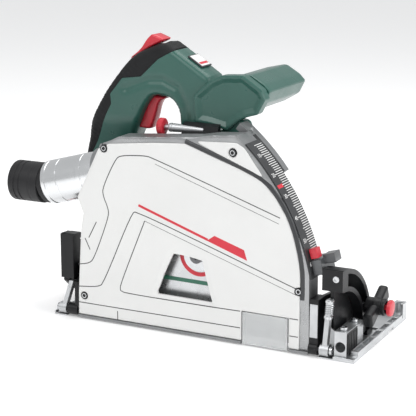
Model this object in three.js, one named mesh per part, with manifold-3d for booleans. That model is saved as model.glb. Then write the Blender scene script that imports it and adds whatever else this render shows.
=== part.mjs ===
// Cordless track plunge saw. Millimetres, +X forward, +Y from the blade towards the motor, +Z up.
// Origin: centre of the base plate's underside.
import * as THREE from 'three';
import { mergeVertices } from 'three/addons/utils/BufferGeometryUtils.js';
import Module from 'manifold-3d';

const wasm = await Module();
wasm.setup();

// ---------------------------------------------------------------- driving dimensions
const gap = 0.3; // between pieces that touch
const runningGap = 0.3; // round a shaft in its bore
const deg = Math.PI / 180;

const plate = { length: 354, width: 160, thick: 4, nearY: -80 }; // the near edge runs along the cut
const hinge = { inset: 5, z: 8, knuckleR: 6.5, pinR: 3, braceWidth: 5 }; // bevel axis, along X
const pivot = { x: -115, z: 30, shaftR: 8, eyeR: 14 }; // plunge axis, along Y
const blade = { radius: 82.5, thick: 1.6, boreR: 10.2, teeth: 36, toothDepth: 5.2, y: -67 };
const swing = { arm: 125, restZ: 86, angle: 32.8 }; // pivot to arbor, arbor's rest height, travel in degrees
const guard = { near: -80, step: 2.4, skin: 1.1, back: -54, wall: 2.5, arcR: 247, frontX: 127, bottomZ: 1.5 };
const guardLip = 3; // bottom lip that the cover stands on
const scale = { thick: 1.2, far: -46, low: 11.5, high: 47 };
const quadrant = { outerR: 85, bandT: 5, innerR: 67, rimT: 5, webT: 4, slotR: 74, restAngle: 25 };
const frontQuadrant = { inner: 140, outer: 162, headZ: 71 };
const rearQuadrant = { inner: 153, outer: 169, headZ: 43 };
const clampKnob = { boltR: 4, hubR: 9, wingReach: 27, wingWidth: 16, wingThick: 10 };
const frontKnob = { side: 1, hubLength: 22, wingAt: 6, tilt: 22 };
const rearKnob = { side: -1, hubLength: 30, wingAt: 19, tilt: 50 };
const tube = { r: 24.5, wall: 2.2, near: -74.5, tilt: 15, endX: -195, endZ: 142, seatX: -124, ductWall: 2.8 };
const nozzle = { r: 22.5, boreR: 18, endX: -241, bendX: -203, z: 140.5 };
const gearbox = { near: -52, far: -24, floor: 4 };
const shaftR = { arbor: 7, lay: 4, motor: 4 };
const gearModule = 1.75;
const teethCount = { arbor: 14, layshaftSmall: 14, layshaftWheel: 32, pinion: 8 };
const motor = { r: 40, wall: 3.5, front: -23.7, plateT: 3.7, rear: 62 };
const motorOffset = { x: -30, z: 42 }; // motor axis from the arbor at full depth
const grip = { near: -31, lowerThick: 26.5, split: 7.5, round: 5, ductRoom: 3.2, stepRoom: 2.9 };
const bar = { near: -35, joint: -22, far: 75, dish: 8 };
const battery = { x0: -165, x1: -111.4, y0: 0, y1: 92, z0: 98, z1: 162 };
const fence = { x0: 154.5, x1: 167.5, y0: -77, y1: -30, z1: 30, boreR: 5.5, boreZ: 14 };

// ---------------------------------------------------------------- worked-out places
const nearY = plate.nearY;
const farY = plate.nearY + plate.width;
const halfLength = plate.length / 2;
const hingeY = nearY + hinge.inset;
const restAngle = Math.asin((swing.restZ - pivot.z) / swing.arm);
const arbor = { x: pivot.x + swing.arm * Math.cos(restAngle), z: swing.restZ };
const pitchR = (teeth) => (teeth * gearModule) / 2;
const stageOne = pitchR(teethCount.pinion) + pitchR(teethCount.layshaftWheel);
const stageTwo = pitchR(teethCount.layshaftSmall) + pitchR(teethCount.arbor);

// An offset given at full depth, turned back to the rest position.
function atRest(dx, dz) {
  const a = swing.angle * deg;
  return { x: dx * Math.cos(a) - dz * Math.sin(a), z: dx * Math.sin(a) + dz * Math.cos(a) };
}
function layshaftOffset() {
  const d = Math.hypot(motorOffset.x, motorOffset.z);
  const along = (stageTwo ** 2 - stageOne ** 2 + d * d) / (2 * d);
  const side = Math.sqrt(stageTwo ** 2 - along ** 2);
  const u = { x: motorOffset.x / d, z: motorOffset.z / d };
  return { x: along * u.x + side * u.z, z: along * u.z - side * u.x };
}
const motorShift = atRest(motorOffset.x, motorOffset.z);
const layShift = atRest(layshaftOffset().x, layshaftOffset().z);
const motorAxis = { x: arbor.x + motorShift.x, z: arbor.z + motorShift.z };
const layAxis = { x: arbor.x + layShift.x, z: arbor.z + layShift.z };
const bolt = {
  y: hingeY + quadrant.slotR * Math.cos(quadrant.restAngle * deg),
  z: hinge.z + quadrant.slotR * Math.sin(quadrant.restAngle * deg),
};
const tubeY = tube.near + tube.r;
const seatLength = (tube.seatX - tube.endX) / Math.cos(tube.tilt * deg);
const duct = { r: tube.r + tube.ductWall, end: seatLength + 30 };
// The handle is cut back beside the duct, up to a step just above it.
const lowerGripNear = tubeY + duct.r + grip.ductRoom;
const gripFar = lowerGripNear + grip.lowerThick;
const middleY = lowerGripNear + grip.split;
const ductRise = Math.sqrt(Math.max(duct.r ** 2 - (grip.near - tubeY) ** 2, 0)) / Math.cos(tube.tilt * deg);
const gripStepZ = tube.endZ + duct.end * Math.sin(tube.tilt * deg) + ductRise + grip.stepRoom;
const bladeY = { near: blade.y, far: blade.y + blade.thick };

// ---------------------------------------------------------------- solids
function solid(geometry) {
  const bare = geometry.index ? geometry.toNonIndexed() : geometry.clone();
  bare.deleteAttribute('normal');
  bare.deleteAttribute('uv');
  const merged = mergeVertices(bare, 1e-4);
  const kept = [];
  for (let i = 0; i < merged.index.count; i += 3) {
    const [a, b, c] = [0, 1, 2].map((k) => merged.index.getX(i + k));
    if (a !== b && b !== c && a !== c) kept.push(a, b, c);
  }
  const vertProperties = new Float32Array(merged.attributes.position.array);
  return new wasm.Manifold(new wasm.Mesh({ numProp: 3, vertProperties, triVerts: new Uint32Array(kept) }));
}
function geometryOf(body) {
  const mesh = body.getMesh();
  const geometry = new THREE.BufferGeometry();
  geometry.setAttribute('position', new THREE.BufferAttribute(new Float32Array(mesh.vertProperties), 3));
  geometry.setIndex(new THREE.BufferAttribute(new Uint32Array(mesh.triVerts), 1));
  return geometry;
}
const join = (first, ...rest) => rest.reduce((sum, next) => sum.add(next), first);
const cut = (first, ...rest) => rest.reduce((left, next) => left.subtract(next), first);

function box(x, y, z) {
  const geometry = new THREE.BoxGeometry(x[1] - x[0], y[1] - y[0], z[1] - z[0]);
  return solid(geometry.translate((x[0] + x[1]) / 2, (y[0] + y[1]) / 2, (z[0] + z[1]) / 2));
}
const axesForY = new THREE.Matrix4().makeBasis(
  new THREE.Vector3(1, 0, 0), new THREE.Vector3(0, 0, 1), new THREE.Vector3(0, -1, 0));
const axesForX = new THREE.Matrix4().makeBasis(
  new THREE.Vector3(0, 1, 0), new THREE.Vector3(0, 0, 1), new THREE.Vector3(1, 0, 0));
const shapeOf = (points) => new THREE.Shape(points.map(([a, b]) => new THREE.Vector2(a, b)));

// An outline in X and Z, carried along Y.
function prismY(points, y0, y1, bevel = 0) {
  const options = { depth: y1 - y0 - 2 * bevel, bevelEnabled: bevel > 0, bevelSegments: 2 };
  Object.assign(options, { bevelThickness: bevel, bevelSize: bevel, bevelOffset: -bevel });
  const geometry = new THREE.ExtrudeGeometry(shapeOf(points), options);
  return solid(geometry.applyMatrix4(axesForY).translate(0, y1 - bevel, 0));
}
// An outline in Y and Z, carried along X.
function prismX(points, x0, x1) {
  const geometry = new THREE.ExtrudeGeometry(shapeOf(points), { depth: x1 - x0, bevelEnabled: false });
  return solid(geometry.applyMatrix4(axesForX).translate(x0, 0, 0));
}
function rodY(at, r, y0, y1, sides = 32, r2 = r) {
  const geometry = new THREE.CylinderGeometry(r2, r, y1 - y0, sides);
  return solid(geometry.translate(at.x, (y0 + y1) / 2, at.z));
}
function rodX(y, z, r, x0, x1, sides = 24, r2 = r) {
  const geometry = new THREE.CylinderGeometry(r2, r, x1 - x0, sides).rotateZ(-Math.PI / 2);
  return solid(geometry.translate((x0 + x1) / 2, y, z));
}
function rodZ(x, y, r, z0, z1, sides = 20, r2 = r) {
  const geometry = new THREE.CylinderGeometry(r2, r, z1 - z0, sides).rotateX(Math.PI / 2);
  return solid(geometry.translate(x, y, (z0 + z1) / 2));
}
// Points of a ring sector between two radii and two angles in degrees.
function sector(cx, cz, r0, r1, a0, a1, steps = 12) {
  const arc = (r, from, to) => Array.from({ length: steps + 1 }, (_, i) => {
    const a = (from + ((to - from) * i) / steps) * deg;
    return [cx + r * Math.cos(a), cz + r * Math.sin(a)];
  });
  return [...arc(r1, a0, a1), ...arc(r0, a1, a0)];
}
// Ring sectors about the plunge axis and about the bevel axis.
function sectorY(r0, r1, a0, a1, y0, y1, steps) {
  return prismY(sector(pivot.x, pivot.z, r0, r1, a0, a1, steps), y0, y1);
}
function sectorX(r0, r1, a0, a1, x0, x1, steps) {
  return prismX(sector(hingeY, hinge.z, r0, r1, a0, a1, steps), x0, x1);
}

// Moves every edge of a clockwise or anticlockwise outline inwards by one distance.
function inset(points, d) {
  const area = points.reduce((sum, [x, z], i) => {
    const [x2, z2] = points[(i + 1) % points.length];
    return sum + x * z2 - x2 * z;
  }, 0);
  const sign = Math.sign(area);
  const edge = (i) => {
    const [x0, z0] = points[(i + points.length) % points.length];
    const [x1, z1] = points[(i + 1 + points.length) % points.length];
    const length = Math.hypot(x1 - x0, z1 - z0);
    return { nx: (-sign * (z1 - z0)) / length, nz: (sign * (x1 - x0)) / length };
  };
  return points.map(([x, z], i) => {
    const [a, b] = [edge(i - 1), edge(i)];
    const k = d / (1 + a.nx * b.nx + a.nz * b.nz);
    return [x + (a.nx + b.nx) * k, z + (a.nz + b.nz) * k];
  });
}

// ---------------------------------------------------------------- scene
const colours = {
  castAlloy: [0xb9bcbf, 0.45, 0.9],
  steel: [0xc6c8ca, 0.3, 1],
  white: [0xeeeeee, 0.5, 0],
  darkSatin: [0x55585b, 0.4, 0.3],
  black: [0x17181a, 0.5, 0],
  rubber: [0x2d2f31, 0.8, 0],
  green: [0x1f4a41, 0.5, 0],
  red: [0xc4343c, 0.45, 0],
  clear: [0xdfe6e8, 0.1, 0],
  scale: [0x6b6e70, 0.4, 0.6],
  copper: [0xb0693c, 0.4, 0.8],
};
const group = new THREE.Group();
const units = { base: new THREE.Group(), guard: new THREE.Group(), drive: new THREE.Group() };
group.add(units.base);
units.base.add(units.guard);
units.guard.add(units.drive);

function place(unit, name, body, colour) {
  const [color, roughness, metalness] = colours[colour];
  const material = new THREE.MeshStandardMaterial({ color, roughness, metalness });
  const mesh = new THREE.Mesh(geometryOf(body), material);
  mesh.name = name;
  units[unit].add(mesh);
}

// ---------------------------------------------------------------- base plate and quadrants
const notch = { x0: -161, x1: 138, y: -48 };
const arborPocket = { x0: -16, x1: 36, y: -7 };
const railChannel = { y0: 18, y1: 42, rise: 2.5, wall: 4, depth: 3.2 };
const ladder = { x0: 168.5, rise: 4.5, pockets: 5, pocketLength: 19, pitch: 25, start: -64 };

function basePlate() {
  const top = plate.thick;
  const hingeSeat = { floor: 1.2, y: hingeY + hinge.knuckleR + 1, reach: 16 };
  const post = [halfLength - 12, halfLength];
  const ladderEnd = ladder.start + ladder.pockets * ladder.pitch + 5;
  let body = box([-halfLength, halfLength], [nearY, farY], [0, top]);
  body = join(body,
    box([-halfLength, halfLength], [railChannel.y0, railChannel.y1], [top - 1, top + railChannel.rise]),
    box([ladder.x0, halfLength], [ladder.start - 4, ladderEnd], [top - 1, top + ladder.rise]),
    box(post, [farY - 12, farY], [top - 1, 20]),
    box([-halfLength + 5, post[0] - 1], [farY - 3.5, farY], [top - 1, 9]),
    box([-halfLength, -halfLength + 5], [-40, farY], [top - 1, 7]));
  body = cut(body,
    box([notch.x0, notch.x1], [nearY - 1, notch.y], [-1, top + 1]),
    box([arborPocket.x0, arborPocket.x1], [notch.y - 1, arborPocket.y], [-1, top + 1]),
    box([notch.x1 - 1, notch.x1 + hingeSeat.reach], [nearY - 1, hingeSeat.y], [hingeSeat.floor, top + 1]),
    box([notch.x0 - hingeSeat.reach + 1, notch.x0 + 1], [nearY - 1, hingeSeat.y], [hingeSeat.floor, top + 1]),
    box([-halfLength - 1, halfLength + 1],
      [railChannel.y0 + railChannel.wall, railChannel.y1 - railChannel.wall], [-1, railChannel.depth]),
    box([post[0] + 3, post[1] - 3], [farY - 13, farY - 4], [8, 21]));
  for (let i = 0; i < ladder.pockets; i += 1) {
    const y = ladder.start + i * ladder.pitch;
    body = cut(body, box([ladder.x0 + 1.5, halfLength - 1.5], [y, y + ladder.pocketLength], [top + 0.6, 20]));
  }
  return body;
}

// Arc slot quadrant with an outer band, a rimmed web and feet; side is +1 at the front and -1 at the rear.
function quadrantBody(side, { inner, outer, headZ }) {
  const span = (a, b) => (side > 0 ? [inner + a, inner + b] : [-inner - b, -inner - a]);
  const width = outer - inner;
  const footZ = plate.thick + gap;
  const webAt = side > 0 ? 7 : 3;
  const web = [...sector(hingeY, hinge.z, 0, quadrant.innerR, 2, 90, 14).slice(0, 15)
    .filter(([y]) => y > hingeY + 4), [hingeY + 4, 74], [hingeY + 4, 42], [hingeY + 8, 29],
  [hingeY + 25, 18], [hingeY + 25, footZ], [hingeY + quadrant.innerR, footZ]];
  const band = sectorX(quadrant.outerR - quadrant.bandT, quadrant.outerR, -2.4, 90, ...span(0, width), 18);
  const rim = sectorX(quadrant.innerR - quadrant.rimT, quadrant.innerR, 2, 89, ...span(webAt, width), 16);
  const head = box(span(0, width), [hingeY - 2, hingeY + 13], [headZ, hinge.z + quadrant.outerR - 0.5]);
  const foot = box(span(0, width), [hingeY + quadrant.outerR - 12, hingeY + quadrant.outerR + 4], [footZ, 9]);
  const webFoot = box(span(webAt - 3, webAt + 7), [hingeY + 28, hingeY + quadrant.innerR], [footZ, 10]);
  return join(band, prismX(web, ...span(webAt, webAt + quadrant.webT)), rim, head, foot, webFoot);
}

// Fixed hinge knuckle with its foot on the plate and a leaning brace above it.
function strut(x0, x1, topX, topZ) {
  const y = [hingeY - 4, hingeY + 3];
  const knuckle = rodX(hingeY, hinge.z, hinge.knuckleR, x0, x1);
  const foot = box([x0, x1], [hingeY, hingeY + 16], [plate.thick + gap, hinge.z + 1.5]);
  const half = hinge.braceWidth / 2;
  const middle = (x0 + x1) / 2;
  const pairAt = (x, z) => [[x - half, z], [x + half, z]];
  const brace = prismY([...pairAt(middle, hinge.z), ...pairAt(topX, topZ).reverse()], ...y);
  return cut(join(knuckle, foot, brace), rodX(hingeY, hinge.z, hinge.pinR + runningGap, x0 - 1, x1 + 1));
}
function hingePin(x0, x1, headAtEnd) {
  const head = headAtEnd ? [x1, x1 + 3] : [x0 - 3, x0];
  const socket = headAtEnd ? [x1 + 1.2, x1 + 4] : [x0 - 4, x0 - 1.2];
  return cut(join(rodX(hingeY, hinge.z, hinge.pinR, x0, x1), rodX(hingeY, hinge.z, 4.6, ...head)),
    rodX(hingeY, hinge.z, 2, ...socket, 6));
}

const fenceScrewYs = [fence.y0 + 8, fence.y1 - 9];
function fenceBlock() {
  const middle = (fence.x0 + fence.x1) / 2;
  const bore = rodY({ x: middle, z: fence.boreZ }, fence.boreR, fence.y0 - 1, fence.y1 + 1, 24);
  const threads = fenceScrewYs.map((y) => rodZ(middle, y, 2.3, fence.boreZ, fence.z1 + 1, 12));
  const body = box([fence.x0, fence.x1], [fence.y0, fence.y1], [plate.thick + gap, fence.z1]);
  return cut(body, bore, ...threads);
}
function fenceScrew(y) {
  const middle = (fence.x0 + fence.x1) / 2;
  const boreTop = fence.boreZ + fence.boreR;
  const head = rodZ(middle, y, 4, fence.z1 + gap, fence.z1 + 3.2, 16);
  const shank = rodZ(middle, y, 2, boreTop + 0.5, fence.z1 + 1, 12);
  return cut(join(head, shank), rodZ(middle, y, 2, fence.z1 + 1.8, fence.z1 + 5, 6));
}
// Knurled eccentric dial that takes up play on the guide rail.
function railAdjuster(x) {
  const z0 = plate.thick + railChannel.rise + gap;
  const y = (railChannel.y0 + railChannel.y1) / 2;
  const rim = Array.from({ length: 24 }, (_, i) => {
    const r = i % 2 ? 9 : 8.2;
    return [r * Math.cos((i * Math.PI) / 12), r * Math.sin((i * Math.PI) / 12)];
  });
  const dial = new THREE.ExtrudeGeometry(shapeOf(rim), { depth: 6, bevelEnabled: false });
  return cut(solid(dial.translate(x, y, z0)), box([x - 5, x + 5], [y - 0.8, y + 0.8], [z0 + 4.5, z0 + 8]));
}

place('base', 'base_plate', basePlate(), 'castAlloy');
place('base', 'front_quadrant', quadrantBody(1, frontQuadrant), 'black');
place('base', 'rear_quadrant', quadrantBody(-1, rearQuadrant), 'black');
place('base', 'front_strut', strut(notch.x1 + 1.5, notch.x1 + 11, 148.5, 62), 'castAlloy');
place('base', 'rear_strut', strut(notch.x0 - 10, notch.x0 - 0.7, -155, 41), 'castAlloy');
place('base', 'front_hinge_pin', hingePin(127.6, notch.x1 + 11.5, true), 'steel');
place('base', 'rear_hinge_pin', hingePin(notch.x0 - 10.5, -149, false), 'steel');
place('base', 'fence_block', fenceBlock(), 'castAlloy');
fenceScrewYs.forEach((y, i) => place('base', `fence_screw_${i + 1}`, fenceScrew(y), 'steel'));
place('base', 'front_rail_adjuster', railAdjuster(130), 'black');
place('base', 'rear_rail_adjuster', railAdjuster(-130), 'black');

// ---------------------------------------------------------------- blade guard
const [arcTop, arcLow] = [50, 12.6]; // ends of the guard's front arc about the plunge axis, in degrees
const guardRear = [[-146.8, guard.bottomZ], [-145.7, 31.8], [-141.1, 100.8], [-137.9, 119.7], [-144.4, 136.7],
  [-115.5, 197], [-101.7, 202.3], [-93.5, 206.5], [-3.9, 213.5], [16.2, 217.2]];
const guardArc = Array.from({ length: 15 }, (_, i) => {
  const a = (arcTop + ((arcLow - arcTop) * i) / 14) * deg;
  return [pivot.x + guard.arcR * Math.cos(a), pivot.z + guard.arcR * Math.sin(a)];
});
const guardOutline = [...guardRear, ...guardArc, [guard.frontX, guard.bottomZ]];
const panelFront = [[-13.6, 207.4], [21.9, 195.1], [74.5, 176.5], [100, 144.4], [112.5, 109.8], [117.4, 79.3],
  [116.8, 58]];
const panelRear = [[-146.4, 4.6], [-145.7, 31.8], [-141.1, 100.8], [-137.9, 119.7], [-144.4, 136.7],
  [-117, 192], [-104.3, 198.4], [-53.5, 203.9]];
const windowOutline = [[-29, 88.2], [-39.5, 64], [-46.8, 44.6], [-46.2, 41.4], [18.6, 40.8], [10.4, 70.1],
  [7, 83.6]];
const chipOpening = { x0: 52, x1: 105.5, top: 37.2 };
const coverScrews = [[-110.2, 193], [41.3, 202], [115.5, 66.3], [-138.2, 26.5]];
const screw = { headR: 4, shankR: 1.8, headDepth: 3.2, length: 13 };
const coverNear = guard.near;
const coverFar = guard.near + guard.step + guard.skin;
const trayNear = coverFar + gap;
const tubeDirection = new THREE.Vector3(Math.cos(tube.tilt * deg), 0, Math.sin(tube.tilt * deg));

// A cylinder along the dust tube's axis, between two distances from the tube's open end.
function alongTube(r, s0, s1, sides = 32) {
  const geometry = new THREE.CylinderGeometry(r, r, s1 - s0, sides);
  geometry.rotateZ(-Math.PI / 2).rotateY(-tube.tilt * deg);
  const middle = tubeDirection.clone().multiplyScalar((s0 + s1) / 2);
  return solid(geometry.translate(tube.endX + middle.x, tubeY, tube.endZ + middle.z));
}

function guardCover() {
  const lift = [guard.bottomZ + guardLip + 0.1, 300];
  const whole = prismY(guardOutline, coverNear + guard.step, coverFar);
  const panel = prismY([...panelRear, ...panelFront, [116.8, 4.6]], coverNear, coverFar);
  const heads = coverScrews.map(([x, z]) => {
    const at = { x, z };
    return join(rodY(at, screw.headR + 0.5, coverNear - 1, coverFar - 1, 16),
      rodY(at, screw.shankR + runningGap, coverFar - 2, coverFar + 1, 12));
  });
  const trimmed = join(whole, panel).intersect(box([-200, 200], [-90, -60], lift));
  return cut(trimmed, prismY(windowOutline, coverNear - 1, coverFar + 1),
    box([chipOpening.x0, chipOpening.x1], [coverNear - 1, coverFar + 1], [0, chipOpening.top]), ...heads);
}

function guardHousing() {
  const tray = prismY(guardOutline, trayNear, guard.back);
  const hollow = prismY(inset(guardOutline, guard.wall), trayNear - 1, guard.back - guard.wall);
  const openBottom = box([-143.5, guard.frontX - guard.wall - 1],
    [trayNear - 1, guard.back - guard.wall], [-1, 30]);
  const scaleWall = sectorY(guard.arcR - 4, guard.arcR - gap, arcLow, arcTop, guard.back - 1, scale.far, 14);
  const ductTube = alongTube(duct.r, seatLength - 4, duct.end)
    .intersect(box([-200, 0], [trayNear, 0], [0, 400]));
  const lipZ = [guard.bottomZ, guard.bottomZ + guardLip - gap];
  const lipTop = 8;
  const lips = join(
    box([-146.5, chipOpening.x0 - 0.5], [coverNear, trayNear + 1.5], lipZ),
    box([-146.5, chipOpening.x0 - 0.5], [trayNear, trayNear + 1.5], [guard.bottomZ, lipTop]),
    box([chipOpening.x1 + 0.5, guard.frontX], [coverNear, trayNear + 1.5], lipZ),
    box([chipOpening.x1 + 0.5, guard.frontX], [trayNear, trayNear + 1.5], [guard.bottomZ, lipTop]));
  const posts = coverScrews.map(([x, z]) => rodY({ x, z }, 4.2, trayNear, guard.back - 1, 16));
  const holes = coverScrews.map(([x, z]) => (
    rodY({ x, z }, screw.shankR + 0.2, trayNear - 1, trayNear + screw.length - 1, 12)));
  const boss = rodY(pivot, 12.5, guard.back - 1, guard.back + 3, 24);
  const slot = sectorY(swing.arm - 18, swing.arm + 18, -16, 40, guard.back - 4, guard.back + 1, 16);
  let body = cut(join(cut(tray, hollow, openBottom), scaleWall), slot);
  body = join(body, ductTube, lips, boss, ...posts);
  return cut(body, rodY(pivot, pivot.shaftR + runningGap, -90, 0, 24), ...holes,
    alongTube(tube.r + runningGap, -60, duct.end - 3));
}

function coverScrew([x, z]) {
  const at = { x, z };
  const headFar = coverFar - 1 - 0.2;
  const head = rodY(at, screw.headR, headFar - screw.headDepth + 1.4, headFar, 16);
  const shank = rodY(at, screw.shankR, headFar - 0.5, headFar + screw.length, 10);
  return cut(join(head, shank), rodY(at, 1.9, headFar - screw.headDepth, headFar - 1, 6));
}

// Folded clear window that shields the cut and slides down onto a workpiece.
function chipGuard() {
  const x = [chipOpening.x0 + 1.5, chipOpening.x1 - 1.5];
  const pane = box(x, [coverNear + 0.6, coverNear + 2.4], [guard.bottomZ, chipOpening.top - 1]);
  const rails = [x[0], x[1] - 3].map((at) => box([at, at + 3], [coverNear + 0.2, coverNear + 3],
    [guard.bottomZ, chipOpening.top - 1]));
  const foot = box(x, [coverNear + 0.2, coverNear + 3], [guard.bottomZ, guard.bottomZ + 2]);
  return join(pane, ...rails, foot);
}

place('guard', 'guard_housing', guardHousing(), 'darkSatin');
place('guard', 'guard_cover', guardCover(), 'white');
coverScrews.forEach((at, i) => place('guard', `cover_screw_${i + 1}`, coverScrew(at), 'steel'));
place('guard', 'chip_guard', chipGuard(), 'clear');
const scaleR = guard.arcR + gap;
place('guard', 'scale_strip',
  sectorY(scaleR, scaleR + scale.thick, scale.low, scale.high, trayNear, scale.far, 24), 'scale');

// Depth stop: a carriage over the scale with a stop pad beside it, a thumb lever and a release button.
const stop = { low: 12.2, high: 15.7, lug: 48.8, far: -37.4, rim: 10.5, lever: [14.2, 16.3], leverR: 271 };
const stopR = scaleR + scale.thick + gap;
place('guard', 'depth_stop', join(
  sectorY(stopR, stopR + stop.rim, stop.low, stop.high, -70, stop.far, 4),
  sectorY(guard.arcR - 7, stopR + 1, stop.low, stop.high, scale.far + gap, stop.far, 4),
  sectorY(stopR + stop.rim - 1, stop.leverR, ...stop.lever, -60, -44, 2)), 'darkSatin');
place('guard', 'depth_stop_button',
  sectorY(stopR + 0.6, stopR + stop.rim - 1.2, stop.high + 0.35, stop.high + 2.7, -70, -60, 2), 'red');

// Fine adjuster on top of the guard, with its knurled knob.
const adjuster = { y: -43.6, z: 215, knobX: -62.5, knobR: 9.3, knobT: 7 };
function adjusterBoss() {
  const shaft = rodX(adjuster.y, adjuster.z, 2.6, adjuster.knobX + adjuster.knobT + gap, -48, 16);
  const cone = rodX(adjuster.y, adjuster.z, 4.8, -49, -9, 20, 3);
  const seatNear = guard.back + gap;
  const seat = prismX([[seatNear, 196], [seatNear, 216], [-46, 222], [-39.5, 222], [-39.5, 214], [-46, 204],
    [-50, 196]], -40, 8);
  return join(shaft, cone, seat);
}
function knurledKnob() {
  const teeth = Array.from({ length: 40 }, (_, i) => {
    const r = i % 2 ? adjuster.knobR : adjuster.knobR - 0.9;
    return [adjuster.y + r * Math.cos((i * Math.PI) / 20), adjuster.z + r * Math.sin((i * Math.PI) / 20)];
  });
  return prismX(teeth, adjuster.knobX, adjuster.knobX + adjuster.knobT);
}
place('guard', 'adjuster_shaft', adjusterBoss(), 'castAlloy');
place('guard', 'adjuster_knob', knurledKnob(), 'red');

// ---------------------------------------------------------------- bevel brackets and clamp knobs
const bracket = { front: [132.8, 137], rear: [-151.5, -147.3] };
const boltHole = (x) => rodX(bolt.y, bolt.z, clampKnob.boltR + runningGap, x[0] - 2, x[1] + 2, 16);
const pinHole = rodX(hingeY, hinge.z, hinge.pinR + runningGap, -200, 200);

function frontBracket() {
  const arm = prismX([[-78, 60], [-58, 60], [-20, 56], [2, 50], [4, 34], [-6, 28], [-40, 24], [-60, 10],
    [-78, 10]], ...bracket.front);
  const block = box([guard.frontX + gap, bracket.front[1]], [-78, -58], [hinge.z, 60]);
  const knuckle = rodX(hingeY, hinge.z, hinge.knuckleR, guard.frontX + gap, bracket.front[1]);
  return cut(join(arm, block, knuckle), boltHole(bracket.front), pinHole);
}
function rearBracket() {
  const arm = prismX([[-78, 10], [-78, 40], [-69, 44], [-58, 58], [-20, 56], [2, 50], [4, 34], [-6, 28],
    [-40, 22], [-60, 10]], ...bracket.rear);
  const knuckle = rodX(hingeY, hinge.z, hinge.knuckleR, notch.x0 + 1, bracket.rear[1]);
  const shaftPlate = box([bracket.rear[0], pivot.x + 12], [-20, -15], [16, 44]);
  return cut(join(arm, knuckle, shaftPlate), boltHole(bracket.rear), pinHole,
    rodY(pivot, pivot.shaftR + runningGap, -30, 0, 24));
}
// Winged nut with its through bolt; side is +1 at the front and -1 at the rear.
function clampKnobBody({ side, hubLength, wingAt, tilt }, bracketX, faceX) {
  const span = (a, b) => (side > 0 ? [faceX + a, faceX + b] : [faceX - b, faceX - a]);
  const boltSpan = side > 0 ? [bracketX[0], faceX + 2] : [faceX - 2, bracketX[1]];
  const wing = (turn) => {
    const [c, s] = [Math.cos(turn * deg), Math.sin(turn * deg)];
    const half = clampKnob.wingWidth / 2;
    const outline = [[4, -half + 2], [clampKnob.wingReach - 3, -half], [clampKnob.wingReach, -half + 3],
      [clampKnob.wingReach, half - 3], [clampKnob.wingReach - 3, half], [4, half - 2]];
    const turned = outline.map(([u, v]) => [bolt.y + u * c - v * s, bolt.z + u * s + v * c]);
    return prismX(turned, ...span(wingAt, wingAt + clampKnob.wingThick));
  };
  const hub = rodX(bolt.y, bolt.z, clampKnob.hubR, ...span(1, hubLength));
  const through = rodX(bolt.y, bolt.z, clampKnob.boltR, ...boltSpan, 16);
  return cut(join(hub, through, wing(tilt), wing(tilt + 180)),
    rodX(bolt.y, bolt.z, 3.4, ...span(hubLength - 6, hubLength + 1), 16));
}
function releaseButton({ side, hubLength }, faceX) {
  const span = (a, b) => (side > 0 ? [faceX + a, faceX + b] : [faceX - b, faceX - a]);
  return join(rodX(bolt.y, bolt.z, clampKnob.hubR - 0.4, ...span(hubLength + 2.4, hubLength + 7)),
    rodX(bolt.y, bolt.z, 3, ...span(hubLength - 3, hubLength + 3), 16));
}
place('guard', 'front_bevel_bracket', frontBracket(), 'black');
place('guard', 'rear_bevel_bracket', rearBracket(), 'black');
place('guard', 'front_clamp_knob', clampKnobBody(frontKnob, bracket.front, frontQuadrant.outer), 'black');
place('guard', 'front_release_button', releaseButton(frontKnob, frontQuadrant.outer), 'red');
place('guard', 'rear_clamp_knob', clampKnobBody(rearKnob, bracket.rear, -rearQuadrant.outer), 'black');
place('guard', 'rear_release_button', releaseButton(rearKnob, -rearQuadrant.outer), 'red');

// ---------------------------------------------------------------- plunge pivot and spring
place('guard', 'pivot_shaft', join(rodY(pivot, pivot.shaftR, guard.back - 8, -13, 24),
  rodY(pivot, 11, guard.back - 8, guard.back - guard.wall - 0.5, 24)), 'steel');

class Helix extends THREE.Curve {
  constructor(radius, turns, y0, y1) {
    super();
    Object.assign(this, { radius, turns, y0, y1 });
  }

  getPoint(t, target = new THREE.Vector3()) {
    const a = t * this.turns * 2 * Math.PI;
    const y = this.y0 + (this.y1 - this.y0) * t;
    return target.set(pivot.x + this.radius * Math.cos(a), y, pivot.z + this.radius * Math.sin(a));
  }
}
function plungeSpring() {
  const wireR = 1;
  const section = Array.from({ length: 6 }, (_, i) => [wireR * Math.cos((i * Math.PI) / 3),
    wireR * Math.sin((i * Math.PI) / 3)]);
  const extrudePath = new Helix(pivot.shaftR + 3, 4, -32.3, -21.7);
  return solid(new THREE.ExtrudeGeometry(shapeOf(section), { steps: 56, extrudePath, bevelEnabled: false }));
}
place('guard', 'plunge_spring', plungeSpring(), 'steel');

// ---------------------------------------------------------------- dust port
const tubeBore = alongTube(tube.r - tube.wall, -1, seatLength + 5);
place('guard', 'dust_tube', cut(alongTube(tube.r, 0, seatLength + 4), tubeBore), 'castAlloy');
const nozzleAt = (x0, x1, r) => rodX(tubeY, nozzle.z, r, x0, x1, 32);
const spigotR = tube.r - tube.wall - gap;
place('guard', 'dust_nozzle', cut(
  join(alongTube(spigotR, -8, 12), nozzleAt(nozzle.endX, nozzle.bendX, nozzle.r)),
  alongTube(nozzle.boreR, -9, 13), nozzleAt(nozzle.endX - 1, nozzle.bendX + 2, nozzle.boreR)), 'rubber');

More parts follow.
